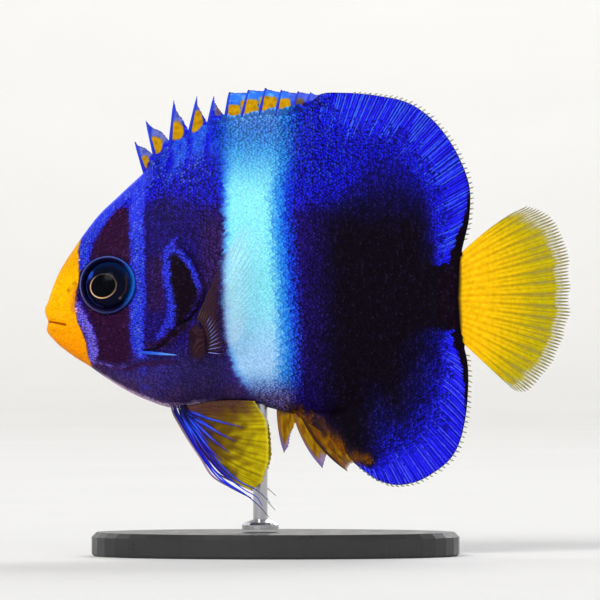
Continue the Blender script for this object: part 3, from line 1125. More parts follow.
def body_scales(surface, side, word, look):
    pitch, step = SCALE_PITCH

    def behind_gill(x, z):
        return x > knots_at(GILL_EDGE, z) + gill_gap(z)

    roots = lattice(surface, side, -27.5, 18.6, SCALE_PITCH, behind_gill)
    x, z, s, t = columns_of(roots)
    soft = knots_at(STREAK_DEPTH, ray_at(x, z)) * rise(x, 1.5, 5.0)
    by_fin = (t > 0) & (s > 0.22) & (s < 0.62)
    keep = (patch(x, z, PECTORAL_LOBE, 0.1) < 0.5) & (margin_distance(s, t) > np.where(by_fin, 0.04, 0.2))
    keep &= (edge_distance(x, z) > soft * draw.uniform(0.55, 1.0, len(x))) & (s < 0.993)
    roots = roots[keep]
    turn_to_rays(roots)
    size = 1 + 0.15 * draw.normal(0, 1, len(roots))
    bright, dark = scale_paint(roots)
    order = np.argsort(roots[:, 0], kind="stable")
    half = len(roots) // 2
    pieces = []
    for part, at in (("front", order[:half]), ("rear", order[half:])):
        name = f"scales_{word}_{part}"
        sizes = 2.2 * step * size[at], 1.15 * pitch * size[at]
        paints = bright[at], dark[at]
        pieces.append(make_scales(name, roots[at], *sizes, 1.1, SCALE_SHINE, paints, look, side))
    return pieces


def head_scales(surface, side, word, look):
    pitch, step = HEAD_SCALE_PITCH

    def before_gill(x, z):
        return x < knots_at(GILL_EDGE, z) - gill_gap(z)

    roots = lattice(surface, side, -33.0, -12.6, HEAD_SCALE_PITCH, before_gill)
    x, z, s, t = columns_of(roots)
    keep = (patch(x, z, SNOUT, 0.05) < 0.5) & (eye_distance(x, z) > ORBIT_RADIUS + 0.3)
    keep &= (patch(x, z, PECTORAL_LOBE, 0.1) < 0.5) & (margin_distance(s, t) > 0.2)
    roots = roots[keep]
    size = 1 + 0.12 * draw.normal(0, 1, len(roots))
    sizes = 1.8 * step * size, 1.1 * pitch * size
    return make_scales(f"scales_{word}_head", roots, *sizes, 0.9, DOT_SHINE, scale_paint(roots), look, side)


def fin_streaks(surface, side, word, look):
    """Long plates in rows along the rays of the soft fins. No rays meet the outline by the tail's root."""
    rows, lengths, widths, glow, shades = [], [], [], [], []
    margins = ((TOP_OUTLINE, 0.648, 8.6, None), (BOTTOM_OUTLINE, 0.68, None, -16.8))
    for outline, first, lowest, highest in margins:
        edge = table_at(outline, np.linspace(first, 0.99, 1200))
        turns = ray_turn(edge[:, 0], edge[:, 1])
        order = np.argsort(turns)
        turns = turns[order]
        far = np.hypot(edge[:, 0] - RAY_CENTRE[0], edge[:, 1] - RAY_CENTRE[1])[order]
        for turn in np.arange(lowest or turns[0], highest or turns[-1], RAY_STEP):
            turn += draw.normal(0, 0.12)
            tuft = float(wander(turn, 0.0, 5.0, 23))
            reach = knots_at(STREAK_DEPTH, turn) * (draw.uniform(0.80, 1.25) + 0.36 * tuft)
            ray_glow = draw.normal(0.85, 0.15) if draw.uniform() < 0.42 else draw.normal(0.14, 0.12)
            ray_glow += 0.22 * tuft - 0.12 * (turn < 0)
            ray_glow += 0.35 * rise(-turn, 42, 60) + 0.12 * rise(turn, 45, 65)
            ray_shade = draw.uniform(0.55, 0.95)
            away = 0.42
            by_black = False
            while away < reach + 0.4:
                here = ray_place(turn, away, turns, far)
                outward = ray_place(turn, away - 0.3, turns, far) - here
                outward /= np.linalg.norm(outward)
                inward = float(rise(away, 0.6 * reach, reach + 0.4))
                if surface.hit(*here, side)[0] is not None and draw.uniform() > 0.2 * inward:
                    lean = draw.normal(0, 0.05)
                    way = (outward[0] - lean * outward[1], outward[1] + lean * outward[0])
                    rows.append(surface.root(*here, side, way))
                    black = knots_at(BLACK_EDGE, here[1])
                    by_black = black > 0.12 and away < black + 0.9
                    short = by_black or away < 0.7
                    lengths.append(0.6 if short else draw.uniform(0.9, 1.3) * (1 - 0.4 * inward))
                    shades.append(ray_shade)
                    widths.append(draw.uniform(0.19, 0.27))
                    glow.append(ray_glow + draw.normal(0, 0.22) - 0.3 * inward)
                away += 0.3 if by_black else draw.uniform(0.45, 0.6)
    roots = np.array(rows)
    colour, _, _ = markings(*columns_of(roots))
    blue = np.clip(colour[:, 2] * 1.5 - 0.2, 0, 1)
    below = rise(-roots[:, 2], -30, -24)
    shine = lay((60, 108, 255), ((80, 94, 255), below))
    bright = lay(colour * 1.1, (shine, np.clip(glow, 0.0, 1.0) * blue))
    dark = colour * np.minimum(np.array(shades) + 0.2 * below, 1)[:, None]
    sizes = np.array(lengths), np.array(widths)
    return make_scales(f"streaks_{word}", roots, *sizes, 1.0, STREAK_SHINE, (bright, dark), look, side)


def cover_with_scales(surface, side, word, look):
    body = body_scales(surface, side, word, look)
    return [*body, head_scales(surface, side, word, look), fin_streaks(surface, side, word, look)]


# Eyes
def eye_axes(surface, side):
    """Axes of an eye in columns, the second outwards and a little forwards and up, the place of its
    socket, and 1 if the first axis points to the tail, otherwise -1."""
    ahead = -math.sin(EYE_YAW) * math.cos(EYE_LIFT)
    outward = Vector((ahead, side * math.cos(EYE_YAW) * math.cos(EYE_LIFT), math.sin(EYE_LIFT)))
    first = outward.cross(Vector((0, 0, 1))).normalized()
    axes = np.array(Matrix((first, outward, first.cross(outward))).transposed())
    x, z = EYE_CENTRE
    return axes, np.array((x, side * surface.flesh_at(x, z), z)), np.sign(axes[0, 0])


def eye_paint(u, v):
    """Colours of an eyeball seen from its side: u towards the tail and v up, in millimetres."""
    r = np.hypot(u, v)
    left_arc = [(-2.5, 2.1, 0.05), (-2.85, 1.2, 0.07), (-2.95, 0.0, 0.07), (-2.6, -1.3, 0.07),
                (-1.8, -2.3, 0.05), (-0.6, -2.8, 0.03)]
    blue_patch = [(-2.3, 1.7), (-1.85, 1.6), (-2.0, 0.9), (-2.5, 0.6), (-2.7, 1.1)]
    brown_arc = [(2.35, 1.5, 0.05), (2.5, 0.2, 0.08), (2.35, -0.8, 0.09), (1.7, -1.75, 0.07)]
    # The gold ring round the pupil, which is an ellipse set a little forwards
    turn = math.radians(12)
    along = (u + 0.44) * math.cos(turn) + (v + 0.20) * math.sin(turn)
    across = -(u + 0.44) * math.sin(turn) + (v + 0.20) * math.cos(turn)
    way = np.hypot(along / 1.75, across / 1.48)
    angle = np.arctan2(across, along)
    strength = (0.62 + 0.38 * np.cos(angle + 2.5)) * (1 - 0.55 * hump(angle, 1.75, 0.45))
    return lay(
        (8, 10, 30),
        ((9, 34, 74), rise(r, 2.0, 2.9) * rise(v, 0.2, 1.8)),
        ((12, 70, 150), rise(r, 2.55, 3.0) * rise(u, 1.6, 2.6)),
        ((24, 40, 130), rise(r, 2.3, 2.9) * rise(-u, 1.7, 2.6) * rise(v, -0.6, 0.8)),
        ((74, 96, 190), band(u, v, left_arc, 0.09) * 0.75),
        ((44, 84, 230), patch(u, v, blue_patch, 0.2) * 0.8),
        ((66, 46, 40), band(u, v, brown_arc, 0.12) * 0.8),
        ((150, 120, 110), band(u, v, [(1.62, -1.72, 0.1), (1.75, -1.6, 0.1)], 0.1) * 0.6),
        ((4, 5, 10), way < 1.0),
        ((232, 188, 140), (1 - rise(np.abs(way - 1.0), 0.028, 0.075)) * strength),
    )


def make_eye(name, surface, side, look):
    axes, socket, tail_side = eye_axes(surface, side)
    centre = socket + axes @ np.array((0.0, EYE_BULGE - EYE_DEPTH_RADIUS, 0.0))
    rings = np.concatenate([np.linspace(0, 0.86, 70), np.linspace(0.87, 2.2, 26)])[1:]
    turns = np.linspace(0, FULL_TURN, 220, endpoint=False)
    polar, turn = np.meshgrid(rings, turns, indexing="ij")
    # A clear front bulges a little over the pupil
    out = np.cos(polar) * (EYE_DEPTH_RADIUS - 0.05) + 0.10 * hump(polar, 0.0, 0.6)
    u, v = np.sin(polar) * np.cos(turn) * EYE_RADIUS, np.sin(polar) * np.sin(turn) * EYE_RADIUS
    local = np.stack([u, out, v], axis=-1).reshape(-1, 3)
    front, back = (0, EYE_DEPTH_RADIUS + 0.05, 0), (0, -EYE_DEPTH_RADIUS * 0.62, 0)
    points = np.concatenate([[front], local, [back]])
    paint = eye_paint(points[:, 0] * tail_side, points[:, 2])
    paint[np.linalg.norm(points[:, [0, 2]], axis=1) > 2.97] *= 0.35
    count, around = polar.shape
    j = 1 + np.arange(around)
    k = np.roll(j, -1)
    last = (count - 1) * around
    faces = [halved(1 + ring_faces(count, around)[:, [0, 3, 2, 1]])]
    faces.append(np.stack([np.zeros(around, int), j, k], axis=1))
    faces.append(np.stack([np.full(around, len(points) - 1), last + k, last + j], axis=1))
    world = points @ axes.T + centre
    return build_mesh(name, world, facing_out(np.concatenate(faces), world, centre), look, paint)


# Colours of the fine line round the eye, by degrees
ORBIT_LINE = [
    (-180, 118, 120, 180), (-150, 104, 96, 150), (-120, 86, 76, 124), (-90, 50, 58, 104), (-50, 40, 60, 130),
    (-20, 20, 100, 200), (10, 22, 106, 204), (50, 50, 82, 180), (90, 86, 98, 170), (130, 70, 86, 168),
    (160, 96, 104, 176), (180, 118, 120, 180),
]


def mixed(knots, rows, at):
    """Rows of numbers at the places `at`, mixed straight between those at the knots."""
    return np.stack([np.interp(at, knots, column) for column in np.transpose(rows)], axis=-1)


def make_orbit(name, surface, side, look):
    """The raised rim of the orbit: dark, with a fine bright line that changes colour round the eye."""
    axes, socket, tail_side = eye_axes(surface, side)
    centre = socket + axes @ np.array((0.0, 0.02, 0.0))
    turns = np.linspace(0, FULL_TURN, 240, endpoint=False)
    turn, way = np.meshgrid(turns, np.linspace(0, FULL_TURN, 20, endpoint=False), indexing="ij")
    radius = ORBIT_RADIUS + 0.02 * np.sin(3 * turn) + ORBIT_RIM_RADIUS * np.cos(way)
    u, v = radius * np.cos(turn) * tail_side, radius * np.sin(turn)
    world = np.stack([u, ORBIT_RIM_RADIUS * np.sin(way), v], axis=-1).reshape(-1, 3) @ axes.T + centre
    table = np.array(ORBIT_LINE)
    line = mixed(np.radians(table[:, 0]), table[:, 1:] / 255, np.arctan2(np.sin(turn), np.cos(turn)))
    dark = lay((10, 10, 40), ((14, 60, 140), rise(np.cos(turn), 0.5, 0.9)))
    hub = centre + axes @ np.array((tail_side * ORBIT_RADIUS, 0, 0))
    faces = facing_out(ring_faces(*turn.shape, closed=True), world, hub)
    return build_mesh(name, world, faces, look, lay(dark, (line, hump(way, math.radians(58), 0.42))))


def make_cheek_spine(name, surface, side, look):
    share = np.linspace(0, 1, 28)
    path = path_at([(x, side * (surface.flesh_at(x, z) + out), z) for x, z, out, _ in CHEEK_SPINE], share)
    radii = np.interp(share, np.linspace(0, 1, len(CHEEK_SPINE)), [row[3] for row in CHEEK_SPINE])
    colours = lay((36, 84, 214), ((100, 152, 240), rise(share, 0.3, 0.9)))
    return rods(name, [(path, radii, colours)], look, 12)


# Spiny fins
def flesh_edge(sign):
    """A line just inside the edge of the flesh at the back or at the belly, as x and z."""
    s = np.linspace(0.15, 0.70, 500)
    t = sign * (flesh_share(s, np.full(s.shape, sign)) - 0.012)
    return side_place(s, t)


def edge_place(edge, x):
    order = np.argsort(edge[:, 0])
    return np.array([x, np.interp(x, edge[order, 0], edge[order, 1])])


def bent_column(low, middle, high, shares):
    """Places on a curve from `low` through `middle` to `high`."""
    control = 2 * middle - (low + high) / 2
    u = np.asarray(shares, float)[:, None]
    return (1 - u) ** 2 * low + 2 * u * (1 - u) * control + u**2 * high


def spiny_fin(name, edge, spines, flaps, end, paint, looks):
    """Thin membranes between tapered spines. `flaps` holds two places of the free edge behind each
    spine, and how far up the next spine the membrane reaches."""
    shares = np.linspace(0, 1, 46)
    roots = [edge_place(edge, root_x) for root_x, _, _ in spines]
    bows = []
    for (_, tip, bow), root in zip(spines, roots):
        tip = np.array(tip)
        across = np.array([-(tip - root)[1], (tip - root)[0]]) / np.linalg.norm(tip - root)
        bows.append((root + tip) / 2 + across * bow)
    tips = [np.array(tip) for _, tip, _ in spines]
    crests = [bent_column(*three, shares) for three in zip(roots, bows, tips)]
    pieces = []
    for k, (root_x, tip, _) in enumerate(spines):
        more = k + 1 < len(spines)
        next_x = spines[k + 1][0] if more else end[0][0]
        middle = edge_place(edge, (root_x + next_x) / 2)
        close, halfway, reach = flaps[k]
        close, halfway = np.array(close), np.array(halfway)
        behind = edge_place(edge, root_x + SPINE_FLANK * 0.5)
        rear_flank = bent_column(behind, bows[k] + (behind - roots[k]) * 0.7, close, shares)
        centre = bent_column(middle, (middle + halfway) / 2, halfway, shares)
        if more:
            last = bent_column(roots[k + 1], bows[k + 1], tips[k + 1], shares * reach)
        else:
            last = bent_column(end[0], (end[0] + end[1]) / 2, end[1], shares)
        knots = [0.0, 0.12, 0.52, 1.0]
        across = np.linspace(0, 1, 34)
        stack = np.stack([crests[k], rear_flank, centre, last], axis=1)
        places = np.stack([[[np.interp(across, knots, row[:, c])] for c in (0, 1)] for row in stack])[:, :, 0]
        places = np.moveaxis(places, 1, 2)
        # A frayed free edge with a shallow scallop
        places[-1, 1:-1] += draw.normal(0, 0.035, (32, 2))
        wave = 0.5 + 0.5 * np.cos(across * 2 * math.pi * 5)
        half = (0.13 - 0.075 * shares[:, None]) * (0.72 + 0.28 * wave * np.sin(math.pi * across))[None, :]
        half[-1] = 0.03
        curl = 0.16 * np.sin(math.pi * across)[None, :] * shares[:, None] ** 1.5 * (1 if k % 2 else -1) * 0.6
        spread = np.broadcast_arrays(across[None, :], shares[:, None])
        colours, covers = paint(places[..., 0], places[..., 1], *spread, k)
        pieces.append(sheet(f"{name}_{k}", places, curl, half, looks["fin"], colours, covers))
    fan = join(name, pieces)
    paths = [np.stack([c[:, 0], np.zeros(len(c)), c[:, 1]], axis=1) for c in crests]
    radii = [np.interp(shares, [0, 0.8, 1], [0.27, 0.13, 0.035]) for _ in crests]
    tints = [paint(c[:, 0], c[:, 1], np.full(len(c), -1.0), shares, k)[0] for k, c in enumerate(crests)]
    spines_piece = rods(f"{name}_spines", list(zip(paths, radii, tints)), looks["ray"], 10)
    return [fan, spines_piece]


def dorsal_paint(x, z, across, shares, k):
    free = k < FREE_DORSAL_SPINES
    base_z = np.interp(x, [p[1] for p in BACK], [p[2] for p in BACK])
    up = z - base_z
    grain = wander(x, z, 0.8, 40 + k)
    if np.all(across < 0):
        colour = lay((24, 40, 190), ((60, 90, 220), shares * 0.8))
        if k == 0:
            colour = lay(colour, ((12, 12, 24), rise(shares, 0.88, 0.95)))
        return colour, None
    in_bar = rise(x, -10.8, -9.6) * (1 - rise(x, -3.6, -1.2))
    low = lay((18, 26, 214), ((40, 118, 244), in_bar * 0.9))
    low = lay(
        low,
        ((60, 128, 255), rise(wander(x, z, 0.55, 50 + k), 0.1, 0.9) * 0.7),
        ((10, 12, 120), rise(-wander(x, z, 0.6, 55 + k), 0.2, 1.0) * 0.6),
    )
    if free:
        high = lay((104, 112, 190), ((62, 72, 176), np.clip(grain, 0, 1) * 0.8))
        high = lay(high, ((44, 52, 150), rise(shares, 0.93, 0.985) * 0.7))
        colour = lay(low, (high, rise(up, 1.7, 2.7) if k > 1 else rise(up, 0.8, 1.6)))
        colour = lay(
            colour,
            ((30, 52, 216), (1 - rise(across, 0.05, 0.22)) * 0.85),
            ((46, 70, 226), rise(across, 0.80, 0.97) * 0.6),
        )
    else:
        top_band = rise(z, 56.55, 57.05) if k > 4 else rise(z, 56.0, 56.6)
        high = lay((48, 118, 248), ((116, 176, 255), np.clip(grain, 0, 1) * 0.8))
        high = lay(
            high,
            ((76, 84, 216), rise(x, -3.4, -1.0) * 0.85),
            ((24, 36, 150), rise(shares, 0.955, 0.99) * 0.7),
        )
        colour = lay(low, (high, top_band))
        colour = lay(colour, ((14, 20, 120), (1 - rise(across, 0.02, 0.12)) * 0.8 * rise(up, 0.5, 1.5)))
    for spot_x, spot_z, wide, high_half, strength in DORSAL_SPOTS:
        square = 2.2 if spot_x < -10 else 4.5
        away = np.abs((x - spot_x) / wide) ** square + np.abs((z - spot_z) / high_half) ** square
        away = away ** (1 / square)
        away = away + 0.08 * grain
        yellow = (196, 146, 0) if spot_x < -2.0 else (116, 88, 10)
        yellow = lay(yellow, ((150, 100, 0), np.clip(-grain, 0, 1) * 0.6))
        colour = lay(colour, (yellow, (1 - rise(away, 0.84, 1.08)) * strength))
    cover = np.where(shares > 0.6, 0.94, 1.0) if free else np.ones(x.shape)
    return colour, cover


def make_sheath(surface, side, look):
    """Small scales that run from the back a little way up the spiny membranes."""
    knots = BACK
    rows = []
    for k, x in enumerate(np.arange(-19.9, 0.3, 0.30)):
        base = np.interp(x, [p[1] for p in knots], [p[2] for p in knots])
        height = 0.25 + 0.3 * between(x, -14.0, -11.5, -2.0, 0.5) + 0.18 * wander(x, 0.0, 1.6, 71)
        for up in np.arange(-0.3 + 0.2 * (k % 2), height, 0.40):
            z = base + up
            place = surface.hit(x, z, side)[0]
            half = max(place.y * side if place else 0.0, 0.17) + 0.02
            s = np.interp(x, [p[1] for p in knots], [p[0] for p in knots])
            place = x + draw.normal(0, 0.06), side * half, z + draw.normal(0, 0.05)
            rows.append((*place, 0.0, side, 0.25, 0.8, 0.0, 0.6, s, 0.985))
    roots = np.array(rows)
    bright, dark = scale_paint(roots)
    size = 1 + 0.15 * draw.normal(0, 1, len(roots))
    paints = np.clip(bright * 1.15, 0, 1), lay(dark, (bright, 0.25))
    name = "sheath_left" if side < 0 else "sheath_right"
    return make_scales(name, roots, 0.72 * size, 0.46 * size, 0.7, SCALE_SHINE, paints, look, side)


def make_dorsal_front(looks):
    edge = flesh_edge(1)
    spines = [(root_x, (tip_x, tip_z), bow) for root_x, tip_x, tip_z, bow in DORSAL_SPINES]
    top = table_at(TOP_OUTLINE, SOFT_DORSAL_START_S + 0.010)
    end = (edge_place(edge, 1.6), top - np.array([0.0, 0.15]))
    flaps = []
    for k, (root_x, tip, _) in enumerate(spines):
        root = edge_place(edge, root_x)
        if k + 1 < len(spines):
            next_root, next_tip = edge_place(edge, spines[k + 1][0]), np.array(spines[k + 1][1])
        else:
            next_root, next_tip = end
        shares = FREE_FLAP if k < FREE_DORSAL_SPINES else JOINED_FLAP
        flap = []
        for along, share in zip((0.14, 0.52), shares):
            foot = root + (next_root - root) * along
            height = (1 - along) * (np.array(tip) - root) + along * (next_tip - next_root)
            flap.append(foot + height * share)
        flaps.append((*flap, shares[2]))
    return spiny_fin("dorsal_front", edge, spines, flaps, end, dorsal_paint, looks)


def anal_paint(x, z, across, shares, k):
    grain = wander(x * 1.5, z * 0.7, 1.2, 60 + k)
    if np.all(across < 0):
        first = (66, 40, 22) if k == 2 else (140, 90, 40)
        colour = lay(first, ((44, 30, 52) if k == 2 else (116, 96, 168), rise(shares, 0.35, 0.85)))
        colour = lay(colour, ((40, 28, 48), rise(shares, 0.94, 0.99)))
        return colour, None
    ridge = 0.5 + 0.5 * np.cos(across * 2 * math.pi * 5)
    colour = lay((164, 124, 0), ((112, 70, 4), 0.3 * (1 - ridge) + 0.6 * rise(grain, -0.2, 0.8)))
    colour = lay(colour, ((84, 70, 96), (1 - rise(shares, 0.0, 0.22)) * 0.7))
    tip = rise(shares, 0.80, 0.95) * (1 - rise(across, 0.35, 0.8))
    if k == 2:
        tip *= 0.3
        colour = lay(colour, ((116, 64, 2), rise(grain, -0.9, 0.3) * 0.9))
        furrow = (1 - ridge) * rise(wander(x * 0.8, z, 0.9, 66), -0.6, 0.8)
        colour = lay(
            colour,
            ((52, 34, 34), furrow * 0.75),
            ((230, 224, 214), rise(shares, 0.965, 0.99) * 0.85),
        )
    colour = lay(
        colour,
        ((148, 126, 172), tip),
        ((120, 100, 150), (1 - rise(across, 0.04, 0.16)) * 0.75 * (k < 2)),
    )
    return colour, np.full(x.shape, 0.96)


def make_anal_front(looks):
    edge = flesh_edge(-1)
    spines = [(root_x, (tip_x, tip_z), bow) for root_x, tip_x, tip_z, bow in ANAL_SPINES]
    s = SOFT_ANAL_START_S + 0.022
    foot = side_place(s, -(flesh_share(s, -1) - 0.02))
    end = (foot, table_at(BOTTOM_OUTLINE, s) + np.array([0.0, 0.1]))
    return spiny_fin("anal_front", edge, spines, ANAL_FLAPS, end, anal_paint, looks)


# Tail
def make_tail(looks):
    count = TAIL_RAYS * 4 * 6 + 1
    share = np.linspace(0, 1, count)
    ends = [table_at(TOP_OUTLINE, 1.0), table_at(MIDLINE, 1.0), table_at(BOTTOM_OUTLINE, 1.0)]
    roots = np.stack([np.interp(share, [0.0, 0.5, 1.0], [p[k] for p in ends]) for k in (0, 1)], axis=1)
    roots[:, 0] -= 0.5
    tips = path_at(TAIL_MARGIN, share)
    down = np.linspace(0, 1, 72) ** 0.9
    d = down[:, None] * np.ones(count)[None, :]
    # Each ray parts in two at a third of its length and again near two thirds
    ray = share * TAIL_RAYS
    first, second, third = (0.5 - 0.5 * np.cos(2 * math.pi * ray * n) for n in (1, 2, 4))
    to_second, to_third = rise(d, 0.26, 0.46), rise(d, 0.54, 0.74)
    ridge = first * (1 - to_second) + second * to_second * (1 - to_third) + third * to_third
    # Tips of the finest rays stand out of the membrane like a comb
    comb = 1 - 0.075 * (1 - third) * rise(d, 0.80, 1.0)
    jag = 1 + 0.012 * wander(share * 60, share * 0, 3.0, 77)
    reach = d * comb * jag[None, :]
    places = roots[None] + (tips - roots)[None] * reach[..., None]
    places[..., 1] += TAIL_TOP_BOW * np.maximum(0, 1 - 3 * share)[None, :] * 3.2 * d * (1 - d)
    flat = 0.50 + (0.05 - 0.50) * d**0.55
    half = flat + 0.075 * ridge * rise(d, 0.02, 0.15) * (1 - 0.6 * d)
    bend = TAIL_CURL * d**2 * np.cos(math.pi * (share - 0.5))[None, :]
    streak = wander(share[None, :] * 90 * np.ones_like(d), d * 2.2, 2.4, 78)
    tone = wander(share[None, :] * 40 * np.ones_like(d), d * 1.2, 2.0, 79)
    between = 0.95 * (1 - first) ** 3 + 0.55 * (1 - second) ** 2 * to_second + 0.4 * (1 - third) * to_third
    between = np.clip(between * (0.75 + 0.5 * tone), 0, 1)
    colour = lay((238, 182, 0), ((219, 178, 0), rise(d, 0.25, 0.5)))
    olive = rise(d + 0.09 * streak, 0.42, 0.86)
    colour = lay(colour, ((192, 176, 0), olive))
    groove_tone = lay((208, 146, 0), ((128, 112, 0), rise(d, 0.2, 0.65)))
    colour = lay(
        colour,
        (groove_tone, between * (0.30 + 0.20 * rise(d, 0.1, 0.5))),
        ((255, 206, 20), ridge * (1 - rise(d, 0.45, 0.8)) * 0.35),
    )
    corner = (0.20 * np.exp(-((share / 0.24) ** 2)) + 0.13 * np.exp(-(((1 - share) / 0.17) ** 2)))[None, :]
    pale = rise(d + (0.02 + 0.35 * corner) * streak + corner, 0.89, 0.95 + 0.9 * corner)
    line = rise(third, 0.35, 0.85)
    colour = lay(
        colour,
        ((190, 186, 150), pale),
        ((134, 124, 62), pale * line * 0.85),
    )
    edge_dark = (1 - rise(d, 0.035, 0.075)) * 0.9
    colour = lay(colour, (NEAR_BLACK, edge_dark))
    cover = 1 - 0.22 * between * rise(d, 0.4, 0.8)
    clear = rise(d + corner + 0.2 * corner * streak, 0.875, 0.945 + 0.9 * corner)
    cover = cover * (1 - clear * (0.70 - 0.66 * line))
    return [sheet("tail_fan", places, bend, half, looks["fin"], colour, cover)]


# Pale tips of the rays along the margins of the soft fins
def make_ray_tips(looks):
    paths, radii, colours = [], [], []
    for outline, first, last in ((TOP_OUTLINE, 0.70, 0.985), (BOTTOM_OUTLINE, 0.70, 0.985)):
        edge = table_at(outline, np.linspace(first, last, 1200))
        run = np.concatenate([[0], np.cumsum(np.linalg.norm(np.diff(edge, axis=0), axis=1))])
        rearward = np.gradient(edge, axis=0)
        rearward /= np.linalg.norm(rearward, axis=1, keepdims=True)
        for at in np.arange(0.3, run[-1], 0.64):
            k = int(np.searchsorted(run, at))
            start, ahead = edge[k], rearward[k]
            outward = start - np.array(RAY_CENTRE)
            turn = math.degrees(math.atan2(outward[1], outward[0]))
            outward /= np.linalg.norm(outward)
            normal = outward - ahead * np.dot(outward, ahead)
            normal /= np.linalg.norm(normal)
            share = at / run[-1]
            length = draw.uniform(0.40, 0.56) * (0.5 + 0.5 * float(rise(share, 0.0, 0.2)))
            bent = math.radians(math.copysign(14 + 0.14 * abs(turn), turn) + draw.normal(0, 5))
            way = np.array([math.cos(bent), math.sin(bent)]) + normal * 0.25
            way /= np.linalg.norm(way)
            low, tip = start - normal * 0.4, start + way * length
            middle = start + normal * 0.05
            points = in_space(np.array([low, middle, tip]), [0.0, 0.0, draw.normal(0, 0.04)])
            paths.append(path_at(points, np.linspace(0, 1, 6)))
            radii.append(np.array([0.05, 0.085, 0.11, 0.115, 0.095, 0.03]))
            pale = shade((172, 172, 138) if draw.uniform() < 0.75 else (136, 144, 170))
            root = shade((30, 30, 170) if share < 0.72 else NEAR_BLACK)
            mixed, end = lay(root, (pale, 0.6)), lay(pale, ((60, 60, 50), 0.4))
            colours.append(np.array([root, root, mixed, pale, pale, end]))
    return [rods("ray_tips", list(zip(paths, radii, colours)), looks["ray"], 5)]


# Paired fins
def make_pectoral(name, surface, side, looks):
    rays = PECTORAL_RAYS
    count = rays * 4 + 1
    share = np.linspace(0, 1, count)
    roots = path_at(PECTORAL_ROOT, share)
    tips = path_at(PECTORAL_MARGIN, share)
    down = np.linspace(0, 1, 40)
    d = down[:, None] * np.ones(count)
    places = roots[None] + (tips - roots)[None] * d[..., None]
    skin = surface.halves_at(places)
    root_skin = skin[0]
    away = np.linalg.norm(places - roots[None], axis=2)
    flat = np.maximum(root_skin[None] + away * PECTORAL_SLOPE, skin) + 0.12 + 0.42 * (1 - rise(d, 0.0, 0.08))
    y = side * (flat + 0.25 * rise(d, 0.02, 0.2))
    x, z = places[..., 0], places[..., 1]
    bar = table_at(BAR_FRONT, z)
    over_bar = rise(x, bar, bar + 0.9)
    colour = lay((60, 36, 48), ((220, 238, 255), over_bar))
    cover = 0.62 * (1 - rise(x, bar - 1.2, bar + 0.2)) + 0.05
    cover = cover + 0.11 * over_bar * (1 - rise(x, bar + 1.6, bar + 4.0))
    cover = cover * (1 - 0.8 * rise(d, 0.75, 1.0)) * (1 - 0.8 * rise(share, 0.86, 1.0))
    membrane = sheet(name, places, y, np.full(d.shape, 0.035), looks["fin"], colour, cover)
    paths, radii, colours = [], [], []
    for k in range(rays):
        column = 2 + 4 * k
        line = np.stack([places[:, column, 0], y[:, column], places[:, column, 1]], axis=1)
        share_of = column / (count - 1)
        low = (134, 150, 244) if share_of > 0.30 else (96, 88, 30)
        if k % 2:
            low = (34, 22, 44)
        tone = lay((44, 28, 36), (low, rise(down, 0.03, 0.08)))
        tone = lay(
            tone,
            ((62, 42, 56), rise(away[:, column], 1.0, 2.1)),
            ((128, 186, 222), over_bar[:, column]),
        )
        paths.append(line[: 26])
        radius = knots_at(PECTORAL_RAY_RADIUS, away[:26, column])
        radii.append(radius * (0.6 if k % 2 else 1.0))
        colours.append(tone[:26])
        for step in (-1, 1):
            target = column + step
            mix = rise(down[25:], 0.62, 0.95)[:, None]
            branch = (1 - mix) * places[25:, column] + mix * places[25:, target]
            height = (1 - mix[:, 0]) * y[25:, column] + mix[:, 0] * y[25:, target]
            paths.append(np.stack([branch[:, 0], height, branch[:, 1]], axis=1))
            radii.append(np.linspace(0.026, 0.009, 15))
            colours.append(tone[25:])
    return [membrane, rods(f"{name}_rays", list(zip(paths, radii, colours)), looks["ray"], 5)]


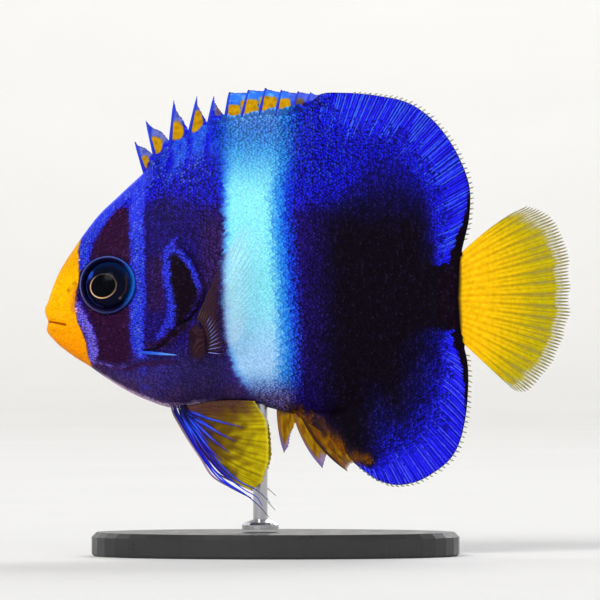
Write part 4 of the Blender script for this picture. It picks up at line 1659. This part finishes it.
def make_pelvic(name, surface, side, turn, looks):
    pivot = np.array([PELVIC_ROOT_X, 18.0])
    spin = np.array([[math.cos(turn), -math.sin(turn)], [math.sin(turn), math.cos(turn)]])

    def along(points, steps):
        """A ray from the belly through `points`."""
        root_x = points[0][0] - (points[1][0] - points[0][0]) * 0.15
        root = np.array([root_x, surface.belly_at(root_x, side * PELVIC_SIDE) + 0.35])
        return path_at(np.vstack([[root], pivot + (np.array(points) - pivot) @ spin.T]), steps)

    def height(places):
        drop = np.linalg.norm(places - np.array([PELVIC_ROOT_X + 1.0, 18.4]), axis=-1)
        return side * (PELVIC_SIDE + PELVIC_SLOPE * drop * (1 - 0.02 * drop))

    down = np.linspace(0, 1, 70)
    across = np.linspace(0, 1, 133)
    web_knots = np.linspace(0, 1, len(PELVIC_WEB))
    web_rows = np.reshape(PELVIC_WEB, (len(PELVIC_WEB), -1))
    columns = []
    for value in across:
        columns.append(along(mixed(web_knots, web_rows, value).reshape(-1, 2), down))
    places = np.stack(columns, axis=1)
    fine = 0.5 + 0.5 * np.cos(across * 2 * math.pi * 22)
    jag = np.clip(1 - fine + 0.5 * wander(across * 60, across * 0, 2.0, 95), 0, 1.4)
    fray = rise(down, 0.86, 1.0)[:, None] * jag[None, :] * 0.009
    places = places - (places - places[:1]) * fray[..., None]
    half = (0.20 - 0.15 * down[:, None] ** 0.5) * (0.86 + 0.14 * fine[None, :])
    x, z = places[..., 0], places[..., 1]
    d = down[:, None] * np.ones(x.shape)
    a = across[None, :] * np.ones(x.shape)
    grain = wander(x, z, 1.2, 91)
    colour = (190, 172, 0)
    colour = lay(
        colour,
        ((140, 116, 0), rise(wander(a * 44, d * 2, 2.0, 92), 0.0, 1.0) * 0.5),
        ((96, 70, 6), (1 - rise(d + 0.14 * grain - 0.10 * a, 0.46, 0.86)) * 0.95),
    )
    reach = d + 0.10 * grain + 0.16 * rise(a, 0.3, 0.9) - 0.10 * (1 - fine)[None, :]
    colour = lay(colour, ((44, 22, 56), (1 - rise(reach, 0.24, 0.56)) * 0.95))
    rear = rise(a + 0.05 * wander(d * 9, a * 3, 1.6, 93), 0.76, 0.97)
    colour = lay(colour, ((86, 50, 44), rear * (1 - 0.6 * rise(d, 0.75, 0.95))))
    lines = (1 - fine)[None, :] * np.clip(0.5 + 0.6 * wander(a * 50, d * 3, 2.2, 94), 0, 1)
    colour = lay(colour, ((84, 66, 8), lines * 0.55 * rise(d, 0.15, 0.4)))
    lead = (1 - rise(a + 0.04 * grain, 0.05, 0.20)) * (1 - rise(d, 0.75, 0.9))
    colour = lay(
        colour,
        ((40, 22, 70), lead * 0.8),
        ((224, 208, 70), rise(d, 0.965, 0.99) * 0.6 * rise(a, 0.1, 0.2)),
    )
    streaks = [[(*p, 0.26 - 0.07 * i) for i, p in enumerate(rod[4])] for rod in PELVIC_RODS[5:]]
    strokes = np.max([band(x, z, streak, 0.18) for streak in streaks], axis=0)
    strokes *= rise(wander(x * 1.4, z, 0.55, 96), -0.7, 0.5) * (1 - rise(a, 0.9, 1.0)) * rise(d, 0.10, 0.26)
    colour = lay(colour, ((46, 44, 214), strokes * 0.9))
    cover = 1 - 0.45 * rise(a, 0.80, 0.97) * rise(d, 0.1, 0.4) * (1 - 0.6 * fine[None, :])
    web = sheet(name, places, height(places), half, looks["fin"], colour, cover)
    paths, radii, colours = [], [], []
    for thick, thin, out, tones, points in PELVIC_RODS:
        line = along(points, np.linspace(0, 1, 44))
        steps = np.linspace(0, 1, 44)
        paths.append(np.stack([line[:, 0], height(line) + side * out, line[:, 1]], axis=1))
        radii.append((thick + (thin - thick) * steps**1.6) * (0.55 + 0.45 * rise(steps, 0.0, 0.22)))
        shadow = 1 - (0.7 if len(paths) > 3 and len(paths) % 2 else 0.2) * (1 - rise(steps, 0.12, 0.5))
        tones = mixed(np.linspace(0, 1, len(tones)), np.array(tones) / 255, steps)
        colours.append(tones * shadow[:, None])
    rays = rods(f"{name}_rays", list(zip(paths, radii, colours)), looks["ray"], 8)
    return [web, rays]


# Assembly
def assemble():
    looks = {word: make_look(*row) for word, row in LOOKS.items()}
    skin, surface = make_skin(looks["skin"])
    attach(skin, "root")
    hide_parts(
        "head", "gill_cover_left", "gill_cover_right", "torso", "tail_base", "dorsal_fin_rear",
        "anal_fin_rear",
    )
    for side in (-1.0, 1.0):
        word = "left" if side < 0 else "right"
        place_pieces(cover_with_scales(surface, side, word, looks["scale"]), None)
        place_pieces([make_sheath(surface, side, looks["scale"])], None)
        blue = "angelfish_blue"
        turn = 0.0 if side < 0 else RIGHT_PELVIC_TURN
        groups = [
            ([make_eye(f"eyeball_{word}", surface, side, looks["eye"])], f"eye_{word}", "eye_black"),
            ([make_orbit(f"orbit_{word}", surface, side, looks["eye"])], None, "angelfish_dark"),
            ([make_cheek_spine(f"cheek_spine_{word}", surface, side, looks["ray"])], None, "angelfish_blue"),
            (make_pectoral(f"pectoral_{word}", surface, side, looks), f"pectoral_fin_{word}", blue),
            (make_pelvic(f"pelvic_{word}", surface, side, turn, looks), f"pelvic_fin_{word}", blue),
        ]
        for pieces, node, slot in groups:
            place_pieces(pieces, node)
    place_pieces(make_dorsal_front(looks), "dorsal_fin_front")
    place_pieces(make_anal_front(looks), "anal_fin_front")
    place_pieces(make_tail(looks), "tail_fin")
    place_pieces(make_ray_tips(looks), None)
    for node, look in (("stand_base", "base"), ("stand_rod", "rod")):
        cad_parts[node].material_slots[0].material = looks[look]
    return looks


def place_pieces(pieces, node):
    for index, piece in enumerate(pieces):
        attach(piece, "root")
        if node and index == 0:
            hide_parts(node)


# Floor, light and camera
def make_floor(look):
    """A wide floor whose rim curves up far away, so that no horizon shows from any side."""
    steps = [0.0, 0.15, 0.4, 0.8, 1.1] + [1.1 + 0.9 * math.sin(a) for a in np.linspace(0.1, math.pi / 2, 16)]
    rises = [0.0] * 5 + [0.9 * (1 - math.cos(a)) for a in np.linspace(0.1, math.pi / 2, 16)]
    around = 96
    points = [(0.0, 0.0, 0.0)]
    for radius, height in zip(steps[1:], rises[1:]):
        for k in range(around):
            turn = 2 * math.pi * k / around
            points.append((radius * math.cos(turn), radius * math.sin(turn), height))
    faces = [(0, 1 + k, 1 + (k + 1) % around) for k in range(around)]
    for ring in range(len(steps) - 2):
        low, high = 1 + ring * around, 1 + (ring + 1) * around
        faces += [(low + k, high + k, high + (k + 1) % around, low + (k + 1) % around) for k in range(around)]
    mesh = bpy.data.meshes.new("studio_floor")
    mesh.from_pydata(points, [], faces)
    for polygon in mesh.polygons:
        polygon.use_smooth = True
    mesh.materials.append(look)
    floor = bpy.data.objects.new("studio_floor", mesh)
    bpy.context.scene.collection.objects.link(floor)


def sun(name, place, power, spread, colour=(1.0, 1.0, 1.0)):
    """A soft distant light that shines from `place` towards the middle."""
    light = bpy.data.lights.new(name, "SUN")
    light.energy = power
    light.angle = math.radians(spread)
    light.color = colour
    obj = bpy.data.objects.new(name, light)
    obj.location = place
    obj.rotation_euler = (-Vector(place)).to_track_quat("-Z", "Y").to_euler()
    bpy.context.scene.collection.objects.link(obj)


def make_light():
    sun("key", (-0.40, -0.80, 0.56), 2.15, 28, (1.0, 0.985, 0.96))
    sun("fill_left", (0.70, -0.70, 0.35), 0.6, 40, (0.96, 0.98, 1.0))
    sun("fill_right", (0.35, 0.80, 0.55), 1.3, 30, (0.97, 0.98, 1.0))
    sun("back_right", (-0.70, 0.60, 0.50), 0.5, 40)
    world = bpy.data.worlds.new("studio")
    world.use_nodes = True
    world.node_tree.nodes["Background"].inputs["Color"].default_value = (0.97, 0.98, 1.0, 1.0)
    world.node_tree.nodes["Background"].inputs["Strength"].default_value = 0.45
    bpy.context.scene.world = world


CAMERA_AWAY = 1.0
FRAME_WIDTH = 0.075
SENSOR = 36.0
PHOTO_MIDDLE = (-0.94, 32.0)


def make_camera():
    """The photo's view: straight at the left side, framed as the photo is."""
    camera = bpy.data.cameras.new("camera")
    camera.sensor_width = SENSOR
    camera.lens = SENSOR * CAMERA_AWAY / FRAME_WIDTH
    camera.clip_start = 0.01
    camera.clip_end = 10.0
    obj = bpy.data.objects.new("camera", camera)
    x, z = PHOTO_MIDDLE
    obj.location = ((x + SHIFT[0]) * MM, -CAMERA_AWAY, z * MM)
    obj.rotation_euler = (math.pi / 2, 0.0, 0.0)
    bpy.context.scene.collection.objects.link(obj)
    bpy.context.scene.camera = obj


looks = assemble()
make_floor(looks["floor"])
make_light()
make_camera()
bpy.context.scene.view_settings.view_transform = "Standard"
